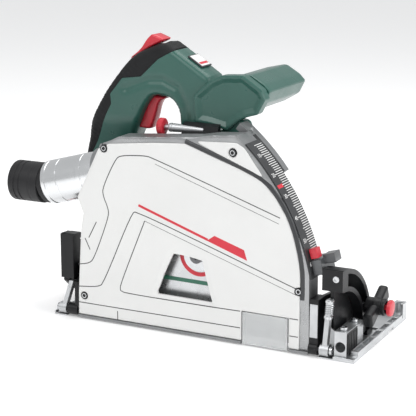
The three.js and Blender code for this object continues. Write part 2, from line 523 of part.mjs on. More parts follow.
// ---------------------------------------------------------------- gear train and blade
// Gear outline with flat-topped teeth; phase is the direction of one tooth, in radians.
function gear(at, teeth, phase, y0, y1, boreR = 0) {
  const pitch = (2 * Math.PI) / teeth;
  const r = pitchR(teeth);
  const [rootR, tipR] = [r - gearModule, r + 0.75 * gearModule];
  const corners = [[rootR, -0.3], [tipR, -0.11], [tipR, 0.11], [rootR, 0.3]];
  const points = Array.from({ length: teeth }, (_, i) => corners.map(([radius, share]) => {
    const a = phase + (i + share) * pitch;
    return [at.x + radius * Math.cos(a), at.z + radius * Math.sin(a)];
  })).flat();
  const body = prismY(points, y0, y1);
  return boreR > 0 ? cut(body, rodY(at, boreR, y0 - 1, y1 + 1, 16)) : body;
}
const direction = (from, to) => Math.atan2(to.z - from.z, to.x - from.x);
const arborToLay = direction(arbor, layAxis);
const layToMotor = direction(layAxis, motorAxis);
const gearY = { slow: [-46, -37], fast: [-35.5, -28] };
const flangeY = { innerFar: bladeY.far + 4, outerNear: bladeY.near - 4.4 };

function sawBlade() {
  const pitch = (2 * Math.PI) / blade.teeth;
  const [tip, root] = [blade.radius, blade.radius - blade.toothDepth];
  const tooth = [[root, 0], [root + 2.4, 0.18], [tip - 0.6, 0.62], [tip, 0.8], [root + 0.4, 0.84]];
  const points = Array.from({ length: blade.teeth }, (_, i) => tooth.map(([r, share]) => {
    const a = (i + share) * pitch;
    return [arbor.x + r * Math.cos(a), arbor.z + r * Math.sin(a)];
  })).flat();
  return cut(prismY(points, bladeY.near, bladeY.far), rodY(arbor, blade.boreR, -90, -50, 24));
}
function arborShaft() {
  return cut(join(rodY(arbor, 17, bladeY.far + gap, flangeY.innerFar, 32),
    rodY(arbor, blade.boreR - gap, bladeY.near + 0.2, bladeY.far + 1, 24),
    rodY(arbor, shaftR.arbor, flangeY.innerFar - 1, -46, 20),
    gear(arbor, teethCount.arbor, arborToLay, ...gearY.slow)), rodY(arbor, 3.4, -90, -55, 16));
}
function bladeFlange() {
  return cut(join(rodY(arbor, 16, flangeY.outerNear, bladeY.near - gap, 32)), rodY(arbor, 3.5, -90, -50, 16));
}
function arborScrew() {
  const headFar = flangeY.outerNear - 0.2;
  return cut(join(rodY(arbor, 7, headFar - 3.4, headFar, 24), rodY(arbor, 3.1, headFar - 1, -57, 16)),
    rodY(arbor, 2.6, headFar - 5, headFar - 1.6, 6));
}
place('drive', 'saw_blade', sawBlade(), 'steel');
place('drive', 'arbor_shaft', arborShaft(), 'steel');
place('drive', 'blade_flange', bladeFlange(), 'steel');
place('drive', 'arbor_screw', arborScrew(), 'steel');
const smallPhase = arborToLay + Math.PI + Math.PI / teethCount.layshaftSmall;
place('drive', 'layshaft', join(
  gear(layAxis, teethCount.layshaftSmall, smallPhase, ...gearY.slow),
  gear(layAxis, teethCount.layshaftWheel, layToMotor, ...gearY.fast),
  rodY(layAxis, shaftR.lay, -49.7, -22, 16)), 'steel');

// ---------------------------------------------------------------- gearbox and motor
const tipR = (teeth) => pitchR(teeth) + gearModule;
const roomR = {
  arbor: tipR(teethCount.arbor) + 0.4,
  lay: tipR(teethCount.layshaftWheel) + 0.6,
  motor: tipR(teethCount.pinion) + 2,
};
const caseR = { arbor: roomR.arbor + 1.8, lay: roomR.lay + 2.15, motor: 22 };
const bearing = { r: 11, boreR: shaftR.arbor + runningGap, y: [-59, -53.2] };

function gearboxHousing() {
  const y = [gearbox.near, gearbox.far];
  const inside = [gearbox.near + gearbox.floor, gearbox.far + 1];
  const along = { x: Math.cos(restAngle), z: Math.sin(restAngle) };
  const beside = (at, d) => [at.x - d * along.z, at.z + d * along.x];
  const arm = prismY([beside(pivot, 9), beside(arbor, 9), beside(arbor, -9), beside(pivot, -9)], -50, -34);
  const outside = join(rodY(arbor, caseR.arbor, ...y), rodY(layAxis, caseR.lay, ...y, 40),
    rodY(motorAxis, caseR.motor, ...y), arm, rodY(pivot, pivot.eyeR, -50, -34),
    rodY(arbor, 15.5, -60.5, gearbox.near + 1));
  return cut(outside,
    rodY(arbor, roomR.arbor, ...inside),
    rodY(layAxis, roomR.lay, ...inside, 40),
    rodY(motorAxis, roomR.motor, ...inside),
    rodY(arbor, bearing.r + 0.2, bearing.y[0], inside[0] + 1),
    rodY(arbor, bearing.boreR, -62, -50, 20),
    rodY(layAxis, shaftR.lay + runningGap, -50, -46, 16),
    rodY(pivot, pivot.shaftR + runningGap, -60, -20, 24));
}
// The lock pin stands inside the arbor gear's pitch circle, turned from the line away from the layshaft.
const lock = { turn: 41.3, inPitch: 1.8, r: 2.8, headR: 4.4 };
const lockWay = arborToLay + Math.PI + lock.turn * deg;
const lockReach = pitchR(teethCount.arbor) - lock.inPitch;
const lockPin = { x: arbor.x + lockReach * Math.cos(lockWay), z: arbor.z + lockReach * Math.sin(lockWay) };
const ventX = [motorAxis.x + motor.r / 2, motorAxis.x + motor.r + 5];
function motorHousing() {
  const front = [motor.front, motor.front + motor.plateT];
  const face = join(rodY(arbor, caseR.arbor, ...front), rodY(layAxis, caseR.lay, ...front, 40),
    rodY(motorAxis, motor.r, ...front, 48));
  const barrel = cut(rodY(motorAxis, motor.r, motor.front, motor.rear, 48),
    rodY(motorAxis, motor.r - motor.wall, front[1], motor.rear + 1, 40));
  let body = cut(join(face, barrel), rodY(motorAxis, 9, -30, -10, 20),
    rodY(layAxis, shaftR.lay + runningGap, -30, motor.front + 2, 16),
    rodY(lockPin, lock.r + gap, -30, -10, 16));
  for (let i = 0; i < 5; i += 1) {
    const y = motor.rear - 22 + i * 4;
    body = cut(body, box(ventX, [y, y + 2], [motorAxis.z - 16, motorAxis.z + 16]));
  }
  return body;
}
function endCap() {
  const y = [motor.rear + gap, motor.rear + 10];
  const body = join(rodY(motorAxis, motor.r, y[0], y[1] - 4, 48),
    rodY(motorAxis, motor.r, y[1] - 4.5, y[1], 48, motor.r - 5));
  const slots = Array.from({ length: 7 }, (_, i) => {
    const x = motorAxis.x - 27 + i * 9;
    const top = motorAxis.z + 28 - Math.abs(i - 3) * 2.5;
    return box([x - 1.6, x + 1.6], [y[0] - 1, y[1] + 1], [motorAxis.z + 9, top]);
  });
  return cut(body, rodY(motorAxis, shaftR.motor + runningGap, y[0] - 1, y[0] + 5, 16), ...slots);
}
const rotorR = 19.5;
function stator() {
  const y = [-8, 40];
  const ring = cut(rodY(motorAxis, motor.r - motor.wall - gap, ...y, 40),
    rodY(motorAxis, rotorR + 1.5, y[0] - 1, y[1] + 1, 32));
  const slots = Array.from({ length: 6 }, (_, i) => {
    const a = (i * Math.PI) / 3;
    const slot = new THREE.BoxGeometry(12, y[1] - y[0] + 2, 6).translate(25, 0, 0).rotateY(a);
    return solid(slot.translate(motorAxis.x, (y[0] + y[1]) / 2, motorAxis.z));
  });
  return cut(ring, ...slots);
}
function rotor() {
  const blades = Array.from({ length: 8 }, (_, i) => {
    const vane = new THREE.BoxGeometry(16, 6, 2).translate(22, 0, 0).rotateY((i * Math.PI) / 4);
    return solid(vane.translate(motorAxis.x, -13.5, motorAxis.z));
  });
  return join(rodY(motorAxis, shaftR.motor, -27.8, motor.rear + 4.5, 16), rodY(motorAxis, rotorR, -6, 38, 32),
    rodY(motorAxis, 32, -18, -16, 32), rodY(motorAxis, 9, -17, -10, 20), ...blades,
    gear(motorAxis, teethCount.pinion, layToMotor + Math.PI + Math.PI / teethCount.pinion, -36, -27.5));
}
place('drive', 'gearbox_housing', gearboxHousing(), 'castAlloy');
place('drive', 'arbor_bearing', cut(rodY(arbor, bearing.r, ...bearing.y),
  rodY(arbor, bearing.boreR, bearing.y[0] - 1, bearing.y[1] + 1, 20)), 'steel');
place('drive', 'motor_housing', motorHousing(), 'green');
place('drive', 'motor_end_cap', endCap(), 'black');
place('drive', 'stator', stator(), 'copper');
place('drive', 'rotor', rotor(), 'steel');
const lockHead = rodY(lockPin, lock.headR, -14, -9, 16);
place('drive', 'spindle_lock', join(rodY(lockPin, lock.r, -33.5, -13, 14), lockHead), 'red');

// ---------------------------------------------------------------- handles
const handleOutline = [[-171.3, 165], [-171, 176], [-161.9, 204.7], [-148.5, 229.4], [-135.4, 250.1],
  [-111.5, 279.1], [-97, 290], [-65, 303], [-51.4, 294.6], [0, 262], [0, 222], [-8, 205], [-4, 188], [5, 184],
  [5, 164], [-20, 160], [-22, 132], [-80, 132], [-84, 164]];
const fingerOpening = [[-112, 184], [-106, 198], [-99, 210.6], [-92, 228], [-84, 240.5], [-77, 245.5],
  [-64, 244.6], [-57, 242.8], [-50.2, 236.5], [-46.2, 227.8], [-45.5, 214], [-48, 184]];
const gripOutline = [[-180, 160], [-180, 320], [-60, 320], [-51.4, 294.6], [-70.7, 284.4], [-92, 264.6],
  [-115.1, 261.6], [-130.5, 243.2], [-129.5, 232.3], [-166, 166], [-166, 160]];
const barNear = [[-26.6, 249.4], [-6.9, 266.3], [6.8, 272.4], [30.5, 273.9], [51.8, 260.1], [56.4, 250.3],
  [47.7, 234.3], [33.1, 230], [26.3, 226.4], [12.7, 214.9], [-8, 219.5], [-24.3, 221.3]];
const barSection = [[2, 250], [8, 268], [33, 273.5], [49, 264], [56, 257], [49, 243], [30, 232], [8, 236]];
const triggerOutline = [[-105, 206.5], [-88.5, 205.5], [-85.5, 209], [-81.8, 218.7], [-78.5, 232],
  [-75, 238.3], [-69.5, 240.2], [-72, 242.6], [-92, 243], [-101, 234], [-111, 214]];
const triggerPocket = [[-121, 206], [-103, 200], [-76, 246], [-98, 248], [-108, 238]];
const buttonOutline = [[-113, 280.5], [-98, 292], [-90, 303.5], [-83.3, 309.6], [-75.3, 306.9],
  [-67.4, 303.8], [-84, 296], [-98, 287]];
const pressDirection = { x: 0.4, z: -0.917 };
const pressTravel = 2.5;
const halfWidth = { button: 13, trigger: 7, switchBlock: 8 };
const across = (half) => [middleY - half, middleY + half];
const switchBox = { x: [-106, -90], y: across(halfWidth.switchBlock), z: [252, 266] };
const grown = (outline) => inset(outline, -0.4);

function handleSolid() {
  const outer = prismY(handleOutline, grip.near, gripFar, grip.round);
  const lowerTrim = box([-200, 60], [grip.near - 10, lowerGripNear], [100, gripStepZ]);
  const armOutline = [[-9, 188], [-9, 204], [4, 204], [24, 221.5], [27.5, 218], [24, 209], [6, 188]];
  const depthArm = prismY(armOutline, grip.near, -14);
  return cut(join(cut(outer, lowerTrim), depthArm), prismY(fingerOpening, grip.near - 1, gripFar + 1),
    prismY(grown(barNear), bar.near - 1, bar.joint + 0.1), prismY(grown(barSection), bar.joint, bar.far),
    rodY(motorAxis, motor.r + 0.4, -40, 40, 48));
}
function slots() {
  const presses = [0, 0.2, 0.4, 0.6, 0.8, 1, 1.1].map((share) => {
    const shifted = grown(buttonOutline).map(([x, z]) => [x + pressDirection.x * pressTravel * share,
      z + pressDirection.z * pressTravel * share]);
    return prismY(shifted, ...across(halfWidth.button + 0.5));
  });
  const [sx, sy, sz] = [switchBox.x, switchBox.y, switchBox.z];
  return join(...presses, prismY(triggerPocket, ...across(halfWidth.trigger + 1)),
    box([sx[0] - gap, sx[1] + gap], [sy[0] - gap, sy[1] + gap], [sz[0] - gap, sz[1] + gap]));
}
const handle = cut(handleSolid(), slots());
const gripBlock = prismY(gripOutline, grip.near - 5, gripFar + 5);
const shell = cut(handle, prismY(inset(gripOutline, -gap), grip.near - 5, gripFar + 5));
const nearHalf = box([-200, 100], [-60, middleY - gap / 2], [0, 400]);
const farHalf = box([-200, 100], [middleY + gap / 2, 60], [0, 400]);
place('drive', 'handle_shell_left', shell.intersect(nearHalf), 'green');
place('drive', 'handle_shell_right', shell.intersect(farHalf), 'green');
place('drive', 'grip_pad', handle.intersect(gripBlock), 'rubber');
place('drive', 'lock_off_button', prismY(buttonOutline, ...across(halfWidth.button)), 'red');
place('drive', 'trigger', prismY(triggerOutline, ...across(halfWidth.trigger)), 'red');
place('drive', 'switch_block', box(switchBox.x, switchBox.y, switchBox.z), 'black');

const labelPad = new THREE.BoxGeometry(20, 22, 1.6).rotateY(32.4 * deg);
place('drive', 'handle_label', solid(labelPad.translate(-30.3, middleY, 282.9)), 'white');

function frontHandle() {
  const rim = inset(barNear, 3.5);
  return cut(prismY(barNear, bar.near, bar.joint), prismY(rim, bar.near - 1, bar.near + bar.dish));
}
place('drive', 'front_handle', frontHandle(), 'green');
place('drive', 'front_handle_bar', prismY(barSection, bar.joint + gap, bar.far, 3), 'green');

// Edge shield and stop lug that meet the depth stop at the set depth.
place('drive', 'depth_pointer', join(
  sectorY(guard.arcR - 9, guard.arcR - 1.6, 37.3, 53, stop.far + 1.2, -26, 8),
  sectorY(guard.arcR - 9, guard.arcR - 1.6, stop.lug, 53, -45, bar.near - 0.5, 2)), 'darkSatin');

// ---------------------------------------------------------------- battery
const rail = { x: [-117, -111], lip: 3, z: [112, 148], spread: 6 };
function railBody(clear) {
  const x = [rail.x[0] - clear, rail.x[1] + 1];
  const y = [battery.y0 + 2 - (clear > 0 ? 5 : 0), battery.y1 - 8 + clear];
  const z = [rail.z[0] - clear, rail.z[1] + clear];
  const lipZ = [z[0] - rail.spread, z[1] + rail.spread];
  return join(box(x, y, z), box([x[0], x[0] + rail.lip + 2 * clear], y, lipZ));
}
function batteryFoot() {
  const face = box([rail.x[1], rail.x[1] + 6], [battery.y0, battery.y1 - 4], [battery.z0, battery.z1]);
  const neck = box([rail.x[1] + 5, motorAxis.x - motor.r / 2],
    [battery.y0 + 10, motor.rear - 4], [battery.z0 + 2, 132]);
  return cut(join(face, neck, railBody(0)), rodY(motorAxis, motor.r + gap, -40, 80, 48));
}
const releaseAt = { y: [68, 86], z: [120, 140] };
function batteryPack() {
  const c = 6;
  const [x0, x1, z0, z1] = [battery.x0, battery.x1, battery.z0, battery.z1];
  const outline = [[x0 + c, z0], [x1, z0], [x1, z1], [x0 + c, z1], [x0, z1 - c], [x0, z0 + c]];
  const pocket = box([x0 - 1, x0 + 6], [releaseAt.y[0] - 0.4, releaseAt.y[1] + 0.4],
    [releaseAt.z[0] - 0.4, releaseAt.z[1] + 0.4]);
  return cut(prismY(outline, battery.y0, battery.y1), railBody(0.4), pocket);
}
place('drive', 'battery_foot', batteryFoot(), 'black');
place('drive', 'battery_pack', batteryPack(), 'black');
place('drive', 'battery_release', box([battery.x0 - 1.5, battery.x0 + 2.5], releaseAt.y, releaseAt.z), 'red');

export default group;
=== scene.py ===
import math
import bmesh
import bpy
import numpy as np
from mathutils import Matrix, Vector


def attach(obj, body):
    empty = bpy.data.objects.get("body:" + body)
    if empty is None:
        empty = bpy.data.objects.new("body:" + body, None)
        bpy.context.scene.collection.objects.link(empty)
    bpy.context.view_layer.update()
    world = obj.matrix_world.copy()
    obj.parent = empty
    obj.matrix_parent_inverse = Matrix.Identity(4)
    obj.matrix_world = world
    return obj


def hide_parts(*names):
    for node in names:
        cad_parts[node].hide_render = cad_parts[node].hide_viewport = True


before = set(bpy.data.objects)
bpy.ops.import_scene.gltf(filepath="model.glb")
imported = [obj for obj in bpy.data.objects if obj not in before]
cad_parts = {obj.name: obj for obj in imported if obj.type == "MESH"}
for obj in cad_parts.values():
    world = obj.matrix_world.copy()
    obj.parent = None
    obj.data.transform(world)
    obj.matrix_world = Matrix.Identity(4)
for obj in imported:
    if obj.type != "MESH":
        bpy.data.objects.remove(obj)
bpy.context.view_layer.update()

# Cordless plunge saw on a guide-rail base. Shapes are worked out in millimetres and stored in metres.
# +X is the cutting direction, +Y runs from the blade to the motor, +Z is up.
mm = 0.001
bpy.context.scene.view_settings.view_transform = "Standard"


# Finishes: what a user would change about each material

finishes = {
    "whiteCoat": dict(base=(0.73, 0.73, 0.72), second=(0.68, 0.68, 0.67), cloud=14, rough=(0.34, 0.44),
                      metal=0.0, grain=1500, bump=0.04, coat=0.15),
    "ridgeSatin": dict(base=(0.075, 0.078, 0.082), second=(0.16, 0.165, 0.17), cloud=16, rough=(0.28, 0.4),
                       metal=0.55, grain=1400, bump=0.05, coat=0.1),
    "housingSatin": dict(base=(0.20, 0.205, 0.21), second=(0.32, 0.325, 0.33), cloud=18, rough=(0.34, 0.5),
                         metal=0.6, grain=1100, bump=0.08),
    "greenShell": dict(base=(0.022, 0.088, 0.070), second=(0.030, 0.108, 0.086), cloud=22, rough=(0.27, 0.37),
                       metal=0.0, grain=1800, bump=0.08, coat=0.12),
    "softGrip": dict(base=(0.006, 0.0062, 0.007), second=(0.012, 0.0125, 0.0135), cloud=30, rough=(0.5, 0.66),
                     metal=0.0, grain=900, bump=0.22, cells=520, specular=0.25),
    "surroundSatin": dict(base=(0.30, 0.305, 0.31), second=(0.42, 0.425, 0.43), cloud=18, rough=(0.24, 0.36),
                          metal=0.75, grain=1100, bump=0.05),
    "scaleSatin": dict(base=(0.035, 0.036, 0.038), second=(0.060, 0.062, 0.065), cloud=20, rough=(0.3, 0.42),
                       metal=0.4, grain=1300, bump=0.05),
    "blackSteel": dict(base=(0.018, 0.018, 0.019), second=(0.035, 0.035, 0.037), cloud=60, rough=(0.3, 0.45),
                       metal=0.5, grain=1300, bump=0.05),
    "blackPlastic": dict(base=(0.005, 0.0052, 0.006), second=(0.010, 0.0105, 0.0115), cloud=26,
                         rough=(0.30, 0.44), metal=0.0, grain=1600, bump=0.10, specular=0.3),
    "nozzleRubber": dict(base=(0.008, 0.008, 0.009), second=(0.016, 0.016, 0.0175), cloud=34,
                         rough=(0.42, 0.56), metal=0.0, grain=700, bump=0.10, specular=0.35),
    "redPlastic": dict(base=(0.60, 0.022, 0.040), second=(0.52, 0.016, 0.032), cloud=30, rough=(0.3, 0.42),
                       metal=0.0, grain=1500, bump=0.06, coat=0.2),
    "castAlloy": dict(base=(0.60, 0.61, 0.62), second=(0.46, 0.47, 0.48), cloud=40, rough=(0.3, 0.5),
                      metal=0.9, grain=620, bump=0.16),
    "tubeMetal": dict(base=(0.70, 0.71, 0.72), second=(0.80, 0.81, 0.82), cloud=16, rough=(0.17, 0.26),
                      metal=1.0, grain=900, bump=0.025, stretch=(0.08, 1, 1)),
    "brushedPlate": dict(base=(0.66, 0.67, 0.68), second=(0.52, 0.53, 0.54), cloud=30, rough=(0.24, 0.42),
                         metal=0.95, grain=1300, bump=0.12, stretch=(0.03, 1, 1)),
    "brightSteel": dict(base=(0.66, 0.67, 0.68), second=(0.50, 0.51, 0.52), cloud=60, rough=(0.16, 0.32),
                        metal=1.0, grain=1500, bump=0.06),
    "darkSteel": dict(base=(0.10, 0.10, 0.105), second=(0.17, 0.17, 0.175), cloud=60, rough=(0.28, 0.42),
                      metal=0.9, grain=1200, bump=0.06),
    "bladeSteel": dict(base=(0.62, 0.63, 0.64), second=(0.50, 0.51, 0.52), cloud=24, rough=(0.2, 0.34),
                       metal=1.0, grain=1300, bump=0.05, rings=True),
    "copperCoil": dict(base=(0.42, 0.13, 0.05), second=(0.30, 0.09, 0.035), cloud=90, rough=(0.3, 0.45),
                       metal=0.85, grain=900, bump=0.2, stretch=(1, 0.05, 1)),
    "printRed": dict(base=(0.62, 0.025, 0.045), second=(0.56, 0.020, 0.038), cloud=60, rough=(0.32, 0.4),
                     metal=0.0, grain=1500, bump=0.03),
    "printGreen": dict(base=(0.02, 0.12, 0.075), second=(0.03, 0.15, 0.095), cloud=60, rough=(0.34, 0.42),
                       metal=0.0, grain=1500, bump=0.03),
    # dark print, also used for the ribbons laid along the cover's grooves as painted shade
    "printDarkAndGrooveShade": dict(base=(0.030, 0.032, 0.034), second=(0.045, 0.047, 0.050), cloud=60, rough=(0.38, 0.48),
                      metal=0.0, grain=1500, bump=0.03),
    "printWhite": dict(base=(0.80, 0.80, 0.79), second=(0.70, 0.70, 0.69), cloud=80, rough=(0.4, 0.5),
                       metal=0.0, grain=1500, bump=0.03),
    "clearPlastic": dict(base=(0.96, 0.97, 0.97), second=(0.90, 0.92, 0.93), cloud=40, rough=(0.02, 0.06),
                         metal=0.0, grain=500, bump=0.02, clear=0.6),
}
madeFinishes = {}


def finish(name):
    if name in madeFinishes:
        return madeFinishes[name]
    look = finishes[name]
    material = bpy.data.materials.new(name)
    material.use_nodes = True
    nodes, links = material.node_tree.nodes, material.node_tree.links
    shader = nodes["Principled BSDF"]
    shader.inputs["Metallic"].default_value = look["metal"]
    shader.inputs["Coat Weight"].default_value = look.get("coat", 0.0)
    shader.inputs["Coat Roughness"].default_value = 0.25
    shader.inputs["Specular IOR Level"].default_value = look.get("specular", 0.5)
    place = nodes.new("ShaderNodeTexCoord")
    turn = nodes.new("ShaderNodeMapping")
    turn.inputs["Scale"].default_value = look.get("stretch", (1, 1, 1))
    links.new(place.outputs["Object"], turn.inputs["Vector"])

    def noise(scale, detail, vector):
        node = nodes.new("ShaderNodeTexNoise")
        node.inputs["Scale"].default_value = scale
        node.inputs["Detail"].default_value = detail
        node.inputs["Roughness"].default_value = 0.6
        links.new(vector, node.inputs["Vector"])
        return node.outputs["Fac"]

    clouds = noise(look["cloud"], 5, place.outputs["Object"])
    grain = noise(look["grain"], 3, turn.outputs["Vector"])
    mixed = nodes.new("ShaderNodeMix")
    mixed.data_type = "RGBA"
    mixed.inputs[6].default_value = (*look["base"], 1)
    mixed.inputs[7].default_value = (*look["second"], 1)
    softened = nodes.new("ShaderNodeMapRange")
    softened.inputs["From Min"].default_value = 0.3
    softened.inputs["From Max"].default_value = 0.7
    links.new(clouds, softened.inputs["Value"])
    blend = nodes.new("ShaderNodeMath")  # clouds with a little of the grain
    blend.operation = "MULTIPLY_ADD"
    blend.inputs[1].default_value = 0.35
    links.new(grain, blend.inputs[0])
    scaled = nodes.new("ShaderNodeMath")
    scaled.operation = "MULTIPLY"
    scaled.inputs[1].default_value = 0.65
    links.new(softened.outputs["Result"], scaled.inputs[0])
    links.new(scaled.outputs[0], blend.inputs[2])
    links.new(blend.outputs[0], mixed.inputs[0])
    links.new(mixed.outputs[2], shader.inputs["Base Color"])
    rough = nodes.new("ShaderNodeMapRange")
    rough.inputs["From Min"].default_value = 0.3
    rough.inputs["From Max"].default_value = 0.7
    rough.inputs["To Min"].default_value, rough.inputs["To Max"].default_value = look["rough"]
    links.new(noise(look["cloud"] * 2.3, 4, turn.outputs["Vector"]), rough.inputs["Value"])
    links.new(rough.outputs["Result"], shader.inputs["Roughness"])
    height = grain
    if "cells" in look:  # small raised dots of a moulded grip
        dots = nodes.new("ShaderNodeTexVoronoi")
        dots.inputs["Scale"].default_value = look["cells"]
        links.new(place.outputs["Object"], dots.inputs["Vector"])
        added = nodes.new("ShaderNodeMath")
        added.operation = "SUBTRACT"
        links.new(grain, added.inputs[0])
        links.new(dots.outputs["Distance"], added.inputs[1])
        height = added.outputs[0]
    if look.get("rings"):  # lathe-ground rings about the blade's centre
        centre = nodes.new("ShaderNodeMapping")
        centre.inputs["Location"].default_value = (-bladeCentre[0] * mm, 0, -bladeCentre[1] * mm)
        links.new(place.outputs["Object"], centre.inputs["Vector"])
        rings = nodes.new("ShaderNodeTexWave")
        rings.wave_type = "RINGS"
        rings.rings_direction = "Y"
        rings.inputs["Scale"].default_value = 260
        rings.inputs["Distortion"].default_value = 1.5
        rings.inputs["Detail"].default_value = 3
        links.new(centre.outputs["Vector"], rings.inputs["Vector"])
        height = rings.outputs["Fac"]
    relief = nodes.new("ShaderNodeBump")
    relief.inputs["Strength"].default_value = look["bump"]
    relief.inputs["Distance"].default_value = 0.0006
    links.new(height, relief.inputs["Height"])
    links.new(relief.outputs["Normal"], shader.inputs["Normal"])
    if "clear" in look:
        shader.inputs["Transmission Weight"].default_value = look["clear"]
        shader.inputs["IOR"].default_value = 1.46
    madeFinishes[name] = material
    return material


# Putting pieces into the scene

bladeCentre = (-3.25, 86.0)
pivotAt = (-115.0, 30.0)


def addPiece(name, verts, faces, look, body, slot=None, sharp=32, replaced=()):
    # verts in millimetres as an (n, 3) array; faces as lists or an (m, 4) array
    mesh = bpy.data.meshes.new(name)
    mesh.from_pydata((np.asarray(verts, float) * mm).tolist(), [], [list(map(int, f)) for f in faces])
    mesh.validate()
    shell = bmesh.new()
    shell.from_mesh(mesh)
    bmesh.ops.remove_doubles(shell, verts=shell.verts, dist=1e-6)
    bmesh.ops.dissolve_degenerate(shell, edges=shell.edges, dist=1e-6)
    bmesh.ops.recalc_face_normals(shell, faces=shell.faces)
    shell.to_mesh(mesh)
    shell.free()
    return putPiece(name, mesh, look, body, sharp, replaced)


def putPiece(name, mesh, look, body, sharp=32, replaced=()):
    piece = bpy.data.objects.new(name, mesh)
    bpy.context.scene.collection.objects.link(piece)
    mesh.materials.clear()
    mesh.materials.append(finish(look))
    mesh.shade_smooth()
    mesh.set_sharp_from_angle(angle=math.radians(sharp))
    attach(piece, body)
    if replaced:
        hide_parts(*replaced)
    return piece


def refineNode(node, look, body, width=0.5, sharp=32, segments=2):
    # a merged copy of the solid with its edges rounded off
    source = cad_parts[node].data
    shell = bmesh.new()
    shell.from_mesh(source)
    bmesh.ops.remove_doubles(shell, verts=shell.verts, dist=2e-6)
    bmesh.ops.dissolve_limit(shell, angle_limit=math.radians(0.4), verts=shell.verts, edges=shell.edges)
    mesh = bpy.data.meshes.new(node + "_finished")
    shell.to_mesh(mesh)
    shell.free()
    piece = putPiece(node + "_finished", mesh, look, body, sharp, (node,))
    if width > 0:
        edge = piece.modifiers.new("edge", "BEVEL")
        edge.width = width * mm
        edge.segments = segments
        edge.limit_method = "ANGLE"
        edge.angle_limit = math.radians(34)
        edge.use_clamp_overlap = True
        edge.harden_normals = True
    return piece


# Shapes

def polygonDistance(u, v, outline):
    # signed distance from points to a closed outline, negative inside:
    # the least distance to any edge, with the sign from how often a ray crosses the outline
    a = np.asarray(outline, float)
    b = np.roll(a, -1, axis=0)
    shape = np.shape(u)
    p = np.stack([np.ravel(u), np.ravel(v)], axis=1)[:, None, :]
    edge = b - a
    t = np.clip(((p - a) * edge).sum(-1) / np.maximum((edge ** 2).sum(-1), 1e-12), 0, 1)
    away = p - (a + t[..., None] * edge)
    near = np.sqrt((away ** 2).sum(-1).min(axis=1))
    crosses = (a[:, 1] > p[..., 1]) != (b[:, 1] > p[..., 1])
    run = np.where(np.abs(edge[:, 1]) < 1e-12, 1e-12, edge[:, 1])
    left = p[..., 0] < a[:, 0] + (p[..., 1] - a[:, 1]) * edge[:, 0] / run
    inside = (crosses & left).sum(axis=1) % 2 == 1
    return np.where(inside, -near, near).reshape(shape)


def lineDistance(u, v, points):
    # distance from points to an open line
    a = np.asarray(points[:-1], float)
    b = np.asarray(points[1:], float)
    p = np.stack([np.ravel(u), np.ravel(v)], axis=1)[:, None, :]
    edge = b - a
    t = np.clip(((p - a) * edge).sum(-1) / (edge ** 2).sum(-1), 0, 1)
    away = p - (a + t[..., None] * edge)
    return np.sqrt((away ** 2).sum(-1).min(axis=1)).reshape(np.shape(u))


def circleDistance(u, v, centre, radius):
    return np.hypot(u - centre[0], v - centre[1]) - radius


def softLine(points, reach=5.0, cut=0.25, times=2):
    # an open line whose inner corners are first cut off at one reach, then cut back again to round them
    points = np.asarray(points, float)
    if len(points) > 2:
        run = np.diff(points, axis=0)
        length = np.linalg.norm(run, axis=1)
        step = run * (np.minimum(reach, 0.4 * length) / length)[:, None]
        pair = np.stack([points[1:-1] - step[:-1], points[1:-1] + step[1:]], axis=1)
        points = np.concatenate([points[:1], pair.reshape(-1, 2), points[-1:]])
    for _ in range(times if len(points) > 2 else 0):
        before, corner, after = points[:-2], points[1:-1], points[2:]
        pair = np.stack([corner + (before - corner) * cut, corner + (after - corner) * cut], axis=1)
        points = np.concatenate([points[:1], pair.reshape(-1, 2), points[-1:]])
    return points


def roundCorners(outline, cut=0.25, times=2):
    # each corner is cut back and replaced by two points, again and again, which rounds it
    points = np.asarray(outline, float)
    for _ in range(times):
        after = np.roll(points, -1, axis=0)
        points = np.stack([points + (after - points) * cut, points + (after - points) * (1 - cut)], axis=1)
        points = points.reshape(-1, 2)
    return points


def gridPlate(region, near, far, span, spacing):
    # A closed plate over region < 0 on a square grid: border points slide along the distance's slope
    # onto the outline, one skin lies at near(u, v), the other at far(u, v), and a wall joins them
    # round the border.
    (u0, u1), (v0, v1) = span
    u, v = np.meshgrid(np.arange(u0, u1 + spacing, spacing), np.arange(v0, v1 + spacing, spacing),
                       indexing="ij")
    kept = region(u, v) < 0.45 * spacing
    cells = kept[:-1, :-1] & kept[1:, :-1] & kept[1:, 1:] & kept[:-1, 1:]
    around = np.zeros(u.shape, int)
    for di in (0, 1):
        for dj in (0, 1):
            around[di:di + cells.shape[0], dj:dj + cells.shape[1]] += cells
    border = (around > 0) & (around < 4)
    bu, bv = u[border], v[border]
    for _ in range(4):
        d = region(bu, bv)
        e = 0.02
        gu = (region(bu + e, bv) - region(bu - e, bv)) / (2 * e)
        gv = (region(bu, bv + e) - region(bu, bv - e)) / (2 * e)
        norm = np.maximum(gu ** 2 + gv ** 2, 0.25)
        move = np.clip(d, -1.6 * spacing, 1.6 * spacing)
        bu, bv = bu - move * gu / norm, bv - move * gv / norm
    u[border], v[border] = bu, bv
    number = np.full(u.shape, -1)
    used = around > 0
    number[used] = np.arange(used.sum())
    i, j = np.nonzero(cells)
    quads = np.stack([number[i, j], number[i + 1, j], number[i + 1, j + 1], number[i, j + 1]], axis=1)
    count = int(used.sum())
    starts = quads.ravel()
    ends = np.roll(quads, -1, axis=1).ravel()
    lone = ~np.isin(starts * count + ends, ends * count + starts)
    a, b = starts[lone], ends[lone]
    walls = np.stack([b, a, a + count, b + count], axis=1)
    faces = np.concatenate([quads, quads[:, ::-1] + count, walls])
    uu, vv = u[used], v[used]
    return uu, vv, near(uu, vv), far(uu, vv), faces


def plateY(region, near, far, span, spacing):
    # a gridPlate whose outline lies in X and Z and whose skins face along Y
    u, v, yn, yf, faces = gridPlate(region, near, far, span, spacing)
    verts = np.concatenate([np.stack([u, yn, v], axis=1), np.stack([u, yf, v], axis=1)])
    return verts, faces


